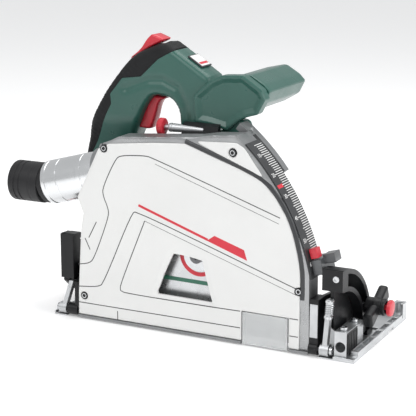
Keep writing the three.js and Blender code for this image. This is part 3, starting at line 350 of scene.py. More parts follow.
def plateX(region, near, far, span, spacing):
    # a gridPlate whose outline lies in Y and Z and whose skins face along X
    u, v, xn, xf, faces = gridPlate(region, near, far, span, spacing)
    verts = np.concatenate([np.stack([xn, u, v], axis=1), np.stack([xf, u, v], axis=1)])
    return verts, faces


def ringFaces(n, m):
    # quads that join n rings of m points each, round every ring and along the row of rings
    rows, cols = np.meshgrid(np.arange(n - 1), np.arange(m), indexing="ij")
    nextCol = (cols + 1) % m
    return np.stack([rows * m + cols, rows * m + nextCol, (rows + 1) * m + nextCol, (rows + 1) * m + cols],
                    axis=-1).reshape(-1, 4)


def cappedRings(verts, n, m):
    # n rings of m points each, joined by quads and closed by a flat face at both ends
    caps = [list(range(m)), list(range((n - 1) * m, n * m))[::-1]]
    return verts, ringFaces(n, m).tolist() + caps


def lathe(profile, start, direction, around=96, ripple=None):
    # A profile of (distance along the axis, radius) turned about an axis: the ring at angle t is
    # start + along * axis + radius * (cos t, sin t) in the two directions across the axis.
    profile = np.asarray(profile, float)
    axis = np.asarray(direction, float)
    axis = axis / np.linalg.norm(axis)
    helper = np.array([0, 0, 1.0]) if abs(axis[2]) < 0.9 else np.array([1.0, 0, 0])
    side = np.cross(helper, axis)
    side /= np.linalg.norm(side)
    other = np.cross(axis, side)
    t = np.linspace(0, 2 * np.pi, around, endpoint=False)
    s, r = profile[:, 0][:, None], profile[:, 1][:, None]
    if ripple is not None:
        r = r * ripple(t[None, :], s)
    else:
        r = r * np.ones_like(t)[None, :]
    s = s * np.ones_like(t)[None, :]
    verts = (np.asarray(start, float) + s[..., None] * axis
             + (r * np.cos(t))[..., None] * side + (r * np.sin(t))[..., None] * other).reshape(-1, 3)
    return verts, ringFaces(len(profile), around)


def sweep(section, path, ups):
    # a closed section (across, up) carried along a path, whose up direction is given at each point
    path, ups = np.asarray(path, float), np.asarray(ups, float)
    along = np.gradient(path, axis=0)
    along /= np.linalg.norm(along, axis=1)[:, None]
    across = np.cross(along, ups)
    across /= np.linalg.norm(across, axis=1)[:, None]
    section = np.asarray(section, float)
    verts = (path[:, None, :] + section[None, :, :1] * across[:, None, :]
             + section[None, :, 1:] * ups[:, None, :]).reshape(-1, 3)
    return cappedRings(verts, len(path), len(section))


def roundStep(depth, radius):
    # height lost at a rounded edge: a quarter circle of that radius, from the edge inwards
    inward = np.clip(depth, 0, radius)
    return radius - np.sqrt(np.maximum(radius ** 2 - (radius - inward) ** 2, 0))


def mergeShells(parts):
    # several closed shells of one finish as one piece
    verts, faces, offset = [], [], 0
    for v, f in parts:
        verts.append(np.asarray(v, float))
        faces += [[int(i) + offset for i in face] for face in f]
        offset += len(v)
    return np.concatenate(verts), faces


print("stage: finishes and shape functions ready")


# Guard cover: white panel, dark surround and sloped ridge

cover = dict(
    frontY=-79.85, stepY=-77.6, backY=-76.5, spacing=1.1, surroundSpacing=1.2, screwHole=4.6,
    panelTop=[(-144.4, 136.7), (-117, 192), (-104.3, 198.4), (-53.5, 203.9), (-13.6, 206.6)],
    ridge=[(-13.6, 206.6), (21.9, 194.6), (48, 186.2), (74.5, 175.5), (88.6, 161), (100, 143.9),
           (107.3, 127.5), (112.5, 109.3), (115.7, 94.5), (117.2, 79.3), (116.8, 58)],
    panelRear=[(116.8, 4.9), (-146.1, 4.9), (-145.4, 31.8), (-140.8, 100.8), (-137.6, 119.7)],
    window=[(-27.5, 88.2), (-33.5, 76), (-39, 64), (-43.5, 52), (-46.8, 44.6), (-46.2, 41.4), (18.6, 40.8),
            (10.4, 70.1), (7, 84.6), (-10, 87.4)],
    chipOpening=[(52, 0), (52, 37.2), (105.5, 37.2), (105.5, 0)],
    screws=[(-110.2, 193), (41.3, 202), (115.5, 66.3), (-138.2, 26.5)],
)
# how far the panel's face drops at each kind of edge, and over what width
coverEdges = dict(rim=0.9, rimWidth=1.6, window=0.9, windowWidth=5.5, chip=0.6, chipWidth=2.2,
                  hole=0.5, holeWidth=1.2)
# lines of the cover's grooves: the panel is not cut along them, and dark ribbons of painted shade are laid
# there instead
grooveLines = [
    [(114.3, 68.8), (-74.9, 130.8), (-115.1, 39.5), (-145.9, 36.4)],
    [(94.6, 140.5), (-56, 190.2), (-93.5, 187.2), (-114, 146.5), (-103.3, 123.6), (-126.6, 65.1),
     (-144.8, 61.6)],
    [(-61, 119.6), (-93.7, 41.4), (-90, 36.7), (13.9, 36.3), (51, 36.6)],
    [(106.5, 37), (116, 37)],
    [(-145, 18.5), (51, 18.5)],
    [(106.5, 18.5), (116, 18.5)],
    [(-96, 5), (-96, 15)],
]
fineLines = [
    [(93.5, 134.2), (-48, 182.2)],
    [(113.5, 62.6), (-61, 119.6)],
]


def arcPoints(radius, fromDeg, toDeg, count):
    a = np.radians(np.linspace(fromDeg, toDeg, count))
    return np.stack([pivotAt[0] + radius * np.cos(a), pivotAt[1] + radius * np.sin(a)], axis=1)


guardOutline = np.concatenate([
    [(-146.8, 4.6), (-145.7, 31.8), (-141.1, 100.8), (-137.9, 119.7), (-144.4, 136.7), (-115.5, 197),
     (-101.7, 202.3), (-93.5, 206.5), (-3.9, 213.5), (16.2, 217.2)],
    arcPoints(247, 50, 12.6, 28), [(127, 4.6)]])
panelOutline = cover["ridge"] + cover["panelRear"] + cover["panelTop"][:-1]


def openings(u, v):
    window = polygonDistance(u, v, cover["window"])
    chip = polygonDistance(u, v, cover["chipOpening"])
    holes = np.minimum.reduce([circleDistance(u, v, s, cover["screwHole"]) for s in cover["screws"]])
    return np.minimum(np.minimum(window, chip), holes)


def panelRegion(u, v):
    return np.maximum(polygonDistance(u, v, panelOutline), -openings(u, v))


def panelFront(u, v):
    # flat face, less rounded edges, less a shallow slope round the window
    outer = -polygonDistance(u, v, panelOutline)
    lost = coverEdges["rim"] * np.clip(1 - outer / coverEdges["rimWidth"], 0, 1) ** 2
    window = polygonDistance(u, v, cover["window"])
    lost = lost + coverEdges["window"] * np.clip(1 - window / coverEdges["windowWidth"], 0, 1) * (window > -9)
    chip = polygonDistance(u, v, cover["chipOpening"])
    lost = lost + coverEdges["chip"] * np.clip(1 - chip / coverEdges["chipWidth"], 0, 1) ** 2
    holes = np.minimum.reduce([circleDistance(u, v, s, cover["screwHole"]) for s in cover["screws"]])
    lost = lost + coverEdges["hole"] * np.clip(1 - holes / coverEdges["holeWidth"], 0, 1) ** 2
    return cover["frontY"] + lost


flat = lambda value: (lambda u, v: np.full_like(u, value))
coverSpan = ((-148, 128), (3, 220))
verts, faces = plateY(panelRegion, panelFront, flat(cover["backY"]), coverSpan, cover["spacing"])
addPiece("cover_panel", verts, faces, "whiteCoat", "guard", "white_cover", 24, ("guard_cover",))


def surroundRegion(u, v):
    inside = np.maximum(polygonDistance(u, v, guardOutline), -openings(u, v))
    return np.maximum(inside, 0.25 - polygonDistance(u, v, panelOutline))


def surroundFront(u, v):
    # steps up from the rim to the panel across the sloped ridge
    outward = lineDistance(u, v, cover["ridge"])
    slope = np.clip(1 - outward / 11.0, 0, 1)
    rim = -polygonDistance(u, v, guardOutline)
    return cover["stepY"] - 1.2 * slope + 0.5 * np.clip(1 - rim / 1.5, 0, 1) ** 2


verts, faces = plateY(surroundRegion, surroundFront, flat(cover["backY"]), coverSpan,
                      cover["surroundSpacing"])
addPiece("cover_surround", verts, faces, "surroundSatin", "guard", "guard_alloy", 30, ("guard_cover",))

# half-round bead that borders the panel, and the white plate under the second screw
bead = dict(outward=2.6, halfWidth=2.6, height=2.2, baseY=-77.6)
beadLine = softLine(cover["ridge"], 9.0)
beadRun = np.gradient(beadLine, axis=0)
beadRun /= np.linalg.norm(beadRun, axis=1)[:, None]
beadLine = beadLine + np.stack([-beadRun[:, 1], beadRun[:, 0]], axis=1) * bead["outward"]
beadPath = np.stack([beadLine[:, 0], np.full(len(beadLine), bead["baseY"]), beadLine[:, 1]], axis=1)
beadTurn = np.radians(np.linspace(0, 180, 13))
beadSection = np.stack([bead["halfWidth"] * np.cos(beadTurn), bead["height"] * np.sin(beadTurn)], axis=1)
beadSection = np.concatenate([beadSection, [(-bead["halfWidth"], -0.6), (bead["halfWidth"], -0.6)]])
addPiece("cover_bead", *sweep(beadSection, beadPath, np.tile((0, -1.0, 0), (len(beadPath), 1))),
         "scaleSatin", "guard", "dark_metal", 40)
cornerPlate = dict(outline=[(-2.6, 210.0), (45, 212.4), (54.3, 207.3), (76.1, 178.2)], frontY=-79.2,
                   backY=-77.9)


def cornerRegion(u, v):
    shape = polygonDistance(u, v, roundCorners(cornerPlate["outline"], 0.08, 2))
    return np.maximum(shape, -circleDistance(u, v, cover["screws"][1], cover["screwHole"]))


cornerFront = lambda u, v: cornerPlate["frontY"] + roundStep(-cornerRegion(u, v), 0.8)
addPiece("cover_corner", *plateY(cornerRegion, cornerFront, flat(cornerPlate["backY"]),
                                 ((-5, 79), (175, 215)), 0.8),
         "whiteCoat", "guard", "white_cover", 30)

# printed marks on the panel: a thin raised stripe with its slanted end block and turning-direction arrow; the
# dark ribbons along the grooves are painted shade, not print
marks = dict(stripe=[(-68.3, 135.9), (13.6, 108.1)], width=2.7,
             block=[(12.4, 107.2), (21.3, 113.4), (55, 102.4), (58.6, 91.5)],
             arrow=[[(-120.7, 111.7), (-130.6, 93.2)], [(-135.4, 92.1), (-129.4, 79.9)]], arrowWidth=1.0,
             groove=1.0, fine=0.5, lift=0.02)


def strip(points, width, y, thick=0.12):
    # a flat ribbon of one width along a line, lifted off the panel by its thickness
    points = np.asarray(points, float)
    run = np.gradient(points, axis=0)
    run /= np.linalg.norm(run, axis=1)[:, None]
    side = np.stack([-run[:, 1], run[:, 0]], axis=1) * width / 2
    edge = np.concatenate([points + side, (points - side)[::-1]])
    return slab(edge, y, y - thick)


def slab(edge, y0, y1):
    # an outline in X and Z carried along Y
    edge = np.asarray(edge, float)
    n = len(edge)
    verts = np.concatenate([np.stack([edge[:, 0], np.full(n, y), edge[:, 1]], axis=1) for y in (y0, y1)])
    return cappedRings(verts, 2, n)


printY = cover["frontY"] + marks["lift"]
# painted shade: dark ribbons along the grooves stand in for the shade inside them
verts, faces = mergeShells([strip(softLine(line), marks["groove"], printY, 0.07) for line in grooveLines]
                           + [strip(line, marks["fine"], printY, 0.07) for line in fineLines])
addPiece("cover_groove_shade", verts, faces, "printDarkAndGrooveShade", "guard", "black_parts")
verts, faces = mergeShells([strip(marks["stripe"], marks["width"], printY),
                            slab(marks["block"], printY, printY - 0.11)])
addPiece("cover_stripe", verts, faces, "printRed", "guard", "red_controls")
verts, faces = mergeShells([strip(line, marks["arrowWidth"], printY) for line in marks["arrow"]])
addPiece("turning_arrow", verts, faces, "printDarkAndGrooveShade", "guard", "black_parts")
print("stage: guard cover")


# Blade with its print, seen through the window

refineNode("saw_blade", "bladeSteel", "blade", 0.12, 30, 1)
bladePrint = dict(y=-67.01, thick=0.1, ringInner=18.2, ringOuter=22.8, band=[(-56, 57.4), (20, 56.4)],
                  bandWidth=4.4)


def ringShell(centre, inner, outer, fromDeg, toDeg, y, thick, count=64):
    a = np.radians(np.linspace(fromDeg, toDeg, count))
    ring = lambda r: np.stack([centre[0] + r * np.cos(a), centre[1] + r * np.sin(a)], axis=1)
    return slab(np.concatenate([ring(outer), ring(inner)[::-1]]), y, y - thick)


verts, faces = ringShell(bladeCentre, bladePrint["ringInner"], bladePrint["ringOuter"], 0, 359.9,
                         bladePrint["y"], bladePrint["thick"])
addPiece("blade_ring_print", verts, faces, "printRed", "blade", "red_controls")
verts, faces = strip(bladePrint["band"], bladePrint["bandWidth"], bladePrint["y"], bladePrint["thick"])
addPiece("blade_band_print", verts, faces, "printGreen", "blade", "green_shell")


# Handle: soft grip, two shells, trigger and lock-off button

handle = dict(
    outline=[(-171.3, 165), (-171, 176), (-161.9, 204.7), (-148.5, 229.4), (-135.4, 250.1), (-111.5, 279.1),
             (-97, 290), (-65, 303), (-51.4, 294.6), (0, 262), (0, 222), (-8, 205), (-4, 188), (5, 184),
             (5, 164), (-20, 160), (-22, 132), (-80, 132), (-84, 164)],
    opening=[(-112, 184), (-106, 198), (-99, 210.6), (-92, 228), (-84, 240.5), (-77, 245.5), (-64, 244.6),
             (-57, 242.8), (-50.2, 236.5), (-46.2, 227.8), (-45.5, 214), (-48, 184)],
    grip=[(-180, 160), (-180, 320), (-60, 320), (-51.4, 294.6), (-70.7, 284.4), (-92, 264.6), (-115.1, 261.6),
          (-130.5, 243.2), (-129.5, 232.3), (-166, 166), (-166, 160)],
    nearY=-31.0, farY=7.0, lowNearY=-19.5, taper=(183.0, 222.0), round=7.5, openRound=5.5, spacing=1.2,
    seam=0.3,
)
nearRecess = dict(depth=2.2, width=4.2, line=[(-112, 250), (-95.4, 256.5), (-83.9, 260.8), (-66, 262),
                                              (-48, 254), (-38, 236), (-36, 214)])
farRecess = dict(depth=1.6, width=4.2, line=[(-112, 250), (-83.9, 260.8), (-48, 254), (-36, 214)])
barNear = [(-26.6, 249.4), (-6.9, 266.3), (6.8, 272.4), (30.5, 273.9), (51.8, 260.1), (56.4, 250.3),
           (47.7, 234.3), (33.1, 230), (26.3, 226.4), (12.7, 214.9), (-8, 219.5), (-24.3, 221.3)]
buttonOutline = [(-113, 280.5), (-98, 292), (-90, 303.5), (-83.3, 309.6), (-75.3, 306.9), (-67.4, 303.8),
                 (-84, 296), (-98, 287)]
motorAxis = (-51.2, 105.05)
handleOutline = roundCorners(handle["outline"], 0.22, 1)
handleOpening = roundCorners(handle["opening"], 0.25, 2)


def handleShape(u, v):
    body = np.maximum(polygonDistance(u, v, handleOutline), -polygonDistance(u, v, handleOpening))
    body = np.maximum(body, -circleDistance(u, v, motorAxis, 40.5))
    return np.maximum(body, 0.5 - polygonDistance(u, v, barNear))


def handleLost(u, v):
    # pillowed edges: a quarter circle in from the outer outline and a smaller one round the opening
    outer = roundStep(-polygonDistance(u, v, handleOutline), handle["round"])
    inner = roundStep(polygonDistance(u, v, handleOpening), handle["openRound"])
    return np.maximum(outer, inner)


def handleRecess(u, v, recess):
    # a shallow rounded groove along a line: its depth falls off as a bell curve of the distance
    away = lineDistance(u, v, recess["line"])
    return recess["depth"] * np.exp(-(away / recess["width"]) ** 2)


def handleNear(u, v):
    # the near face leans out from the low part to the grip with a smooth step
    low, high = handle["taper"]
    blend = np.clip((v - low) / (high - low), 0, 1)
    base = handle["lowNearY"] + (handle["nearY"] - handle["lowNearY"]) * blend * blend * (3 - 2 * blend)
    return base + handleLost(u, v) + handleRecess(u, v, nearRecess)


def handleFar(u, v):
    return handle["farY"] - handleLost(u, v) - handleRecess(u, v, farRecess)


middleY = (handle["nearY"] + handle["farY"]) / 2
handleSpan = ((-173, 8), (130, 305))
clearOfButton = lambda u, v: 0.4 - polygonDistance(u, v, buttonOutline)
shellRegion = lambda u, v: np.maximum.reduce(
    [handleShape(u, v), handle["seam"] - polygonDistance(u, v, handle["grip"]), clearOfButton(u, v)])
gripRegion = lambda u, v: np.maximum(handleShape(u, v), polygonDistance(u, v, handle["grip"]))
verts, faces = plateY(shellRegion, handleNear, flat(middleY - 0.12), handleSpan, handle["spacing"])
addPiece("handle_left", verts, faces, "greenShell", "drive", "green_shell", 38, ("handle_shell_left",))
verts, faces = plateY(shellRegion, flat(middleY + 0.12), handleFar, handleSpan, handle["spacing"])
addPiece("handle_right", verts, faces, "greenShell", "drive", "green_shell", 38, ("handle_shell_right",))


gripRibs = dict(height=0.35, pitch=5.2, fullTo=12, fade=3)


def gripNear(u, v):
    # the grip stands a little proud of the shells, with pressed finger ribs towards its back edge
    back = lineDistance(u, v, [(-168, 176), (-158, 205), (-145, 230), (-132, 250), (-109, 277)])
    ripple = 0.5 + 0.5 * np.cos((u * 0.62 + v * 0.78) * 2 * np.pi / gripRibs["pitch"])
    ribs = gripRibs["height"] * ripple * np.clip(1 - (back - gripRibs["fullTo"]) / gripRibs["fade"], 0, 1)
    return handleNear(u, v) + np.clip(ribs, 0, gripRibs["height"])


gripFar = lambda u, v: handleFar(u, v) - (gripNear(u, v) - handleNear(u, v))
button = dict(nearY=-22.0, farY=-2.0, press=(1.0, -2.3), room=1.6, sideRoom=0.5)


def overPocket(u, v, outside, inside):
    # one depth outside the lock-off button's pocket and another within the whole of its press
    swept = [np.asarray(buttonOutline, float) + np.array(button["press"]) * share for share in (0, 0.35,
                                                                                                0.7, 1)]
    near = np.minimum.reduce([polygonDistance(u, v, outline) for outline in swept])
    return np.where(near < button["room"], inside, outside)


# the grip is two halves that meet in the middle, each hollowed beside the button
gripHalves = [
    plateY(gripRegion, gripNear, lambda u, v: overPocket(u, v, middleY, button["nearY"] - button["sideRoom"]),
           handleSpan, handle["spacing"]),
    plateY(gripRegion, lambda u, v: overPocket(u, v, middleY, button["farY"] + button["sideRoom"]), gripFar,
           handleSpan, handle["spacing"]),
]
addPiece("grip_cover", *mergeShells(gripHalves), "softGrip", "drive", "grip_rubber", 38, ("grip_pad",))


def pillow(outline, y0, y1, radius, spacing, rounds=1):
    # a flat-sided piece whose edges are quarter circles of that radius
    shape = roundCorners(outline, 0.2, rounds)
    lost = lambda u, v: roundStep(-polygonDistance(u, v, shape), radius)
    lo, hi = shape.min(axis=0) - 2, shape.max(axis=0) + 2
    return plateY(lambda u, v: polygonDistance(u, v, shape), lambda u, v: y0 + lost(u, v),
                  lambda u, v: y1 - lost(u, v), ((lo[0], hi[0]), (lo[1], hi[1])), spacing)


triggerOutline = [(-105, 206.5), (-88.5, 205.5), (-85.5, 209), (-81.8, 218.7), (-78.5, 232), (-75, 238.3),
                  (-69.5, 240.2), (-72, 242.6), (-92, 243), (-101, 234), (-111, 214)]
addPiece("trigger_cover", *pillow(triggerOutline, -19, -5, 2.6, 0.7), "redPlastic", "trigger_lever",
         "red_controls", 36, ("trigger",))
addPiece("lock_off_cover", *pillow(buttonOutline, button["nearY"], button["farY"], 2.4, 0.7), "redPlastic",
         "lock_off", "red_controls", 36, ("lock_off_button",))
armOutline = [(-9, 188), (-9, 210), (4, 213), (20, 227), (31, 225), (34, 219), (31, 211), (6, 188)]
addPiece("handle_arm", *pillow(armOutline, -30.8, -14.2, 1.6, 0.9), "greenShell", "drive", "green_shell", 34)


def tiltedBox(centre, size, lean, lift):
    # a box turned about Y, whose middle is moved along its own upward direction
    t = math.radians(lean)
    across, upward = np.array([math.cos(t), 0, -math.sin(t)]), np.array([math.sin(t), 0, math.cos(t)])
    corners = [np.asarray(centre) + upward * (lift + size[2] * c) + across * size[0] * a
               + np.array([0, size[1] * b, 0])
               for c in (-0.5, 0.5) for a, b in ((-0.5, -0.5), (0.5, -0.5), (0.5, 0.5), (-0.5, 0.5))]
    sides = [[i, (i + 1) % 4, (i + 1) % 4 + 4, i + 4] for i in range(4)]
    return np.array(corners), sides + [[3, 2, 1, 0], [4, 5, 6, 7]]


label = dict(centre=(-30.3, -12, 282.9), lean=32.4, face=(17.4, 19.4, 0.3), bar=(3.2, 17.0, 0.2), barAway=4.6)
lean = math.radians(label["lean"])
barCentre = np.array(label["centre"]) + np.array([math.cos(lean), 0, -math.sin(lean)]) * label["barAway"]
addPiece("label_face", *tiltedBox(label["centre"], label["face"], label["lean"], 0.9), "printWhite", "drive",
         "white_cover")
addPiece("label_bar", *tiltedBox(barCentre, label["bar"], label["lean"], 1.1), "printRed", "drive",
         "red_controls")
print("stage: handle")


# Front handle: dished near end and rounded bar

barSection = [(2, 250), (8, 268), (33, 273.5), (49, 264), (56, 257), (49, 243), (30, 232), (8, 236)]
dish = dict(nearY=-35.0, backY=-22.0, deep=2.9, rim=3.2, slope=5.0, spacing=0.8)
dishShape = roundCorners(barNear, 0.07, 1)


def dishNear(u, v):
    # rounded edge, flat rim, then a straight slope down to a flat floor
    inward = -polygonDistance(u, v, dishShape)
    slope = np.clip((inward - dish["rim"]) / dish["slope"], 0, 1)
    return dish["nearY"] + roundStep(inward, 1.2) + dish["deep"] * slope


dishFar = lambda u, v: dish["backY"] - roundStep(-polygonDistance(u, v, dishShape), 1.2)
verts, faces = plateY(lambda u, v: polygonDistance(u, v, dishShape), dishNear, dishFar,
                      ((-29, 59), (213, 276)), dish["spacing"])
addPiece("front_handle_dish", verts, faces, "greenShell", "drive", "green_shell", 20, ("front_handle",))


def loft(section, ys, scales):
    # one rounded section repeated along Y, shrunk about its middle by the factor given at each place
    ring = roundCorners(section, 0.09, 2)
    middle = ring.mean(axis=0)
    rings = [np.stack([middle[0] + (ring[:, 0] - middle[0]) * k, np.full(len(ring), y),
                       middle[1] + (ring[:, 1] - middle[1]) * k], axis=1) for y, k in zip(ys, scales)]
    return cappedRings(np.concatenate(rings), len(ys), len(ring))


endTurn = np.radians(np.linspace(0, 90, 9))
barY = np.concatenate([[-21.7, -20.9, -19.5], np.linspace(-14, 69.5, 20), 69.5 + 5.5 * np.sin(endTurn)[1:]])
barScale = np.concatenate([[0.97, 0.99, 1.0], np.ones(20), 1 - 0.17 * (1 - np.cos(endTurn)[1:])])
addPiece("front_handle_grip", *loft(barSection, barY, barScale), "greenShell", "drive", "green_shell", 20,
         ("front_handle_bar",))
print("stage: front handle")


# Dust tube and rubber nozzle

tube = dict(r=24.5, y=-50.0, tilt=15.0, end=(-195.0, 142.0), seat=73.5, bore=22.3)
tubeAxis = (math.cos(math.radians(tube["tilt"])), 0, math.sin(math.radians(tube["tilt"])))
tubeStart = (tube["end"][0], tube["y"], tube["end"][1])
tubeProfile = [(0, tube["bore"]), (0, 23.6), (0.6, 24.3), (1.2, tube["r"]), (5.0, tube["r"]), (5.6, 23.9),
               (7.4, 23.9), (8, tube["r"]), (20, tube["r"]), (20.5, 24.2), (21.5, 24.2), (22, tube["r"]),
               (52, tube["r"]), (52.5, 24.2), (53.5, 24.2), (54, tube["r"]),
               (tube["seat"] + 3.6, tube["r"]), (tube["seat"] + 3.6, tube["bore"]), (0, tube["bore"])]
addPiece("dust_tube_skin", *lathe(tubeProfile, tubeStart, tubeAxis), "tubeMetal", "dust_port", "alloy", 30,
         ("dust_tube",))
nozzleOuter = [(0, 18.2), (0, 21.6), (0.5, 22.3), (1.2, 22.5), (7, 22.5), (7.6, 21.7), (9.2, 21.7),
               (9.8, 22.5), (13.4, 22.5), (14, 21.7), (15.6, 21.7), (16.2, 22.5), (26, 22.5), (26.4, 22.2),
               (29, 22.2), (29.4, 22.5), (37.4, 22.5), (38, 21.6), (38, 18.2), (0, 18.2)]
spigot = [(-7.5, 18.2), (-7.5, 21.9), (12, 21.9), (12, 18.2), (-7.5, 18.2)]
verts, faces = mergeShells([lathe(nozzleOuter, (-241, tube["y"], 140.5), (1, 0, 0)),
                            lathe(spigot, tubeStart, tubeAxis)])
addPiece("dust_nozzle_skin", verts, faces, "nozzleRubber", "dust_port", "grip_rubber", 30, ("dust_nozzle",))
print("stage: dust port")


# Depth scale: dark band with raised ticks and numbers

scaleBand = dict(inner=247.3, outer=248.35, top=248.5, nearY=-76.2, farY=-46.0, low=11.5, high=47.0,
                 markY=-46.6, tickWidth=0.17, numberY=-69.5, numberSize=6.4, tenAt=43.0, perDepth=28.1 / 50,
                 tens=19, fives=17.5, ones=15, redDepths=(26, 24.4), redY=(-63, -75))


def arcShell(inner, outer, low, high, y0, y1, count=80):
    ring = np.concatenate([arcPoints(outer, low, high, count), arcPoints(inner, high, low, count)])
    return slab(ring, y0, y1)


addPiece("scale_band", *arcShell(scaleBand["inner"], scaleBand["outer"], scaleBand["low"], scaleBand["high"],
                                 scaleBand["farY"], scaleBand["nearY"]),
         "scaleSatin", "guard", "dark_metal", 30, ("scale_strip",))
# one tick per millimetre of depth, longer at each fifth and tenth, by even steps of angle round the pivot
tickAt = lambda depth: scaleBand["tenAt"] - (depth - 10) * scaleBand["perDepth"]
ticks = []
for depth in range(5, 67):
    length = scaleBand["tens" if depth % 10 == 0 else "fives" if depth % 5 == 0 else "ones"]
    a = tickAt(depth)
    half = scaleBand["tickWidth"] / 2
    ticks.append(arcShell(scaleBand["outer"] - 0.05, scaleBand["top"], a - half, a + half,
                          scaleBand["markY"], scaleBand["markY"] - length, 2))
addPiece("scale_ticks", *mergeShells(ticks), "printWhite", "guard", "dark_metal")


def numberMesh(text, size):
    curve = bpy.data.curves.new("number", "FONT")
    curve.body = text
    curve.size = size
    curve.extrude = 0.05
    curve.align_x = "CENTER"
    curve.align_y = "CENTER"
    curve.resolution_u = 3
    holder = bpy.data.objects.new("number", curve)
    bpy.context.scene.collection.objects.link(holder)
    flatMesh = bpy.data.meshes.new_from_object(holder.evaluated_get(bpy.context.evaluated_depsgraph_get()))
    points = np.empty(len(flatMesh.vertices) * 3)
    flatMesh.vertices.foreach_get("co", points)
    found = [list(p.vertices) for p in flatMesh.polygons]
    bpy.data.objects.remove(holder)
    bpy.data.curves.remove(curve)
    bpy.data.meshes.remove(flatMesh)
    return points.reshape(-1, 3), found


numbers = []
for depth in range(10, 70, 10):
    flatPoints, found = numberMesh(str(depth), scaleBand["numberSize"])
    # across the strip is -Y, up the strip follows the arc, and out is along the radius
    angle = np.radians(tickAt(depth)) + flatPoints[:, 1] / scaleBand["outer"]
    radius = scaleBand["outer"] + 0.05 + flatPoints[:, 2]
    y = scaleBand["numberY"] + flatPoints[:, 0]
    numbers.append((np.stack([pivotAt[0] + radius * np.cos(angle), y, pivotAt[1] + radius * np.sin(angle)],
                             axis=1),
                    found))
addPiece("scale_numbers", *mergeShells(numbers), "printWhite", "guard", "dark_metal")
redMark = arcShell(scaleBand["outer"] - 0.05, scaleBand["top"], *map(tickAt, scaleBand["redDepths"]),
                   *scaleBand["redY"], 3)
addPiece("scale_mark", *redMark, "printRed", "guard", "red_controls")
print("stage: depth scale")


# Clamp knobs: two lobes on a hub, with a ribbed rim

clamp = dict(y=-75 + 74 * math.cos(math.radians(25)), z=8 + 74 * math.sin(math.radians(25)), hub=9.0,
             reach=27.0, halfWidth=8.0, waist=6.4, corner=3.0, wingThick=10.0, round=2.6, capR=8.6)
knobs = [
    dict(side=1, faceX=162, hubLength=22, wingAt=6, tilt=22, bolt=29, body="front_clamp",
         button="front_button", node="front_clamp_knob", cap="front_release_button"),
    dict(side=-1, faceX=169, hubLength=30, wingAt=19, tilt=50, bolt=22, body="rear_clamp",
         button="rear_button", node="rear_clamp_knob", cap="rear_release_button"),
]


def wingShape(tilt):
    t = math.radians(tilt)

    def region(u, v):
        # rounded paddle on both sides of the hub: a box whose half width grows from the waist to the tips,
        # less its corner radius on each side, then grown back by that radius
        along = np.abs((u - clamp["y"]) * math.cos(t) + (v - clamp["z"]) * math.sin(t))
        across = np.abs((v - clamp["z"]) * math.cos(t) - (u - clamp["y"]) * math.sin(t))
        half = clamp["waist"] + (clamp["halfWidth"] - clamp["waist"]) * np.clip((along - 8) / 14, 0, 1)
        over = along - clamp["reach"] + clamp["corner"], across - half + clamp["corner"]
        outside = np.hypot(np.maximum(over[0], 0), np.maximum(over[1], 0))
        paddle = outside + np.minimum(np.maximum(*over), 0) - clamp["corner"]
        return np.minimum(paddle, np.hypot(along, across) - clamp["hub"])

    return region


def knobPieces(knob):
    side, length = knob["side"], knob["hubLength"]
    at = lambda a: side * (knob["faceX"] + a)
    region = wingShape(knob["tilt"])
    x0, x1 = sorted((at(knob["wingAt"]), at(knob["wingAt"] + clamp["wingThick"])))
    lost = lambda u, v: roundStep(-region(u, v), clamp["round"])
    span = ((clamp["y"] - 29, clamp["y"] + 29), (clamp["z"] - 29, clamp["z"] + 29))
    wing = plateX(region, lambda u, v: x0 + lost(u, v), lambda u, v: x1 - lost(u, v), span, 0.7)
    start, way = (at(0), clamp["y"], clamp["z"]), (side, 0, 0)
    hub = lathe([(1, 0.01), (1, 8.2), (1.8, 9), (length - 4.6, 9), (length - 4.2, 8.4), (length - 3.4, 8.4),
                 (length - 3, 9), (length - 0.7, 9), (length, 8.3), (length, 6.6), (length - 5.8, 6.2),
                 (length - 5.8, 0.01)], start, way, 64)
    bolt = lathe([(-knob["bolt"], 0.01), (-knob["bolt"], 4), (1.4, 4), (1.4, 0.01)], start, way, 40)
    stem, face, top = length - 3, length + 2.4, length + 7
    cap = lathe([(stem, 0.01), (stem, 2.9), (face, 2.9), (face, 8.0), (face + 0.7, clamp["capR"]),
                 (top - 1.2, clamp["capR"]), (top - 0.4, 8.0), (top, 6.8), (top, 0.01)], start, way, 64)
    addPiece(knob["node"] + "_wings", *mergeShells([wing, hub]), "blackPlastic", knob["body"],
             "black_parts", 34, (knob["node"],))
    addPiece(knob["node"] + "_bolt", *bolt, "brightSteel", knob["body"], "steel", 34)
    addPiece(knob["cap"] + "_cap", *cap, "redPlastic", knob["button"], "red_controls", 34, (knob["cap"],))


for knob in knobs:
    knobPieces(knob)
print("stage: clamp knobs")


# Fine adjuster: knurled knob and tapered boss

knurl = lambda t, s: 1 - 0.045 * (0.5 + 0.5 * np.cos(36 * t))
knobProfile = [(0, 0.01), (0, 7.6), (0.5, 8.6), (1.2, 9.3), (5.8, 9.3), (6.5, 8.6), (7, 7.6), (7, 0.01)]
addPiece("adjuster_knob_knurled", *lathe(knobProfile, (-62.5, -43.6, 215), (1, 0, 0), 288, knurl),
         "redPlastic", "fine_knob", "red_controls", 50, ("adjuster_knob",))
coneProfile = [(-55, 0.01), (-55, 2.6), (-50, 2.6), (-49.6, 4.5), (-49, 4.8), (-47, 4.8), (-46.5, 4.3),
               (-45.5, 4.3), (-45, 4.7), (-9.4, 3.1), (-9, 2.8), (-9, 0.01)]
addPiece("adjuster_cone", *lathe(coneProfile, (0, -43.6, 215), (1, 0, 0), 64), "castAlloy", "guard",
         "alloy", 34, ("adjuster_shaft",))


def blockX(outline, x0, x1):
    # an outline in Y and Z carried along X
    outline = np.asarray(outline, float)
    n = len(outline)
    verts = np.concatenate([np.column_stack([np.full(n, x), outline]) for x in (x0, x1)])
    return cappedRings(verts, 2, n)


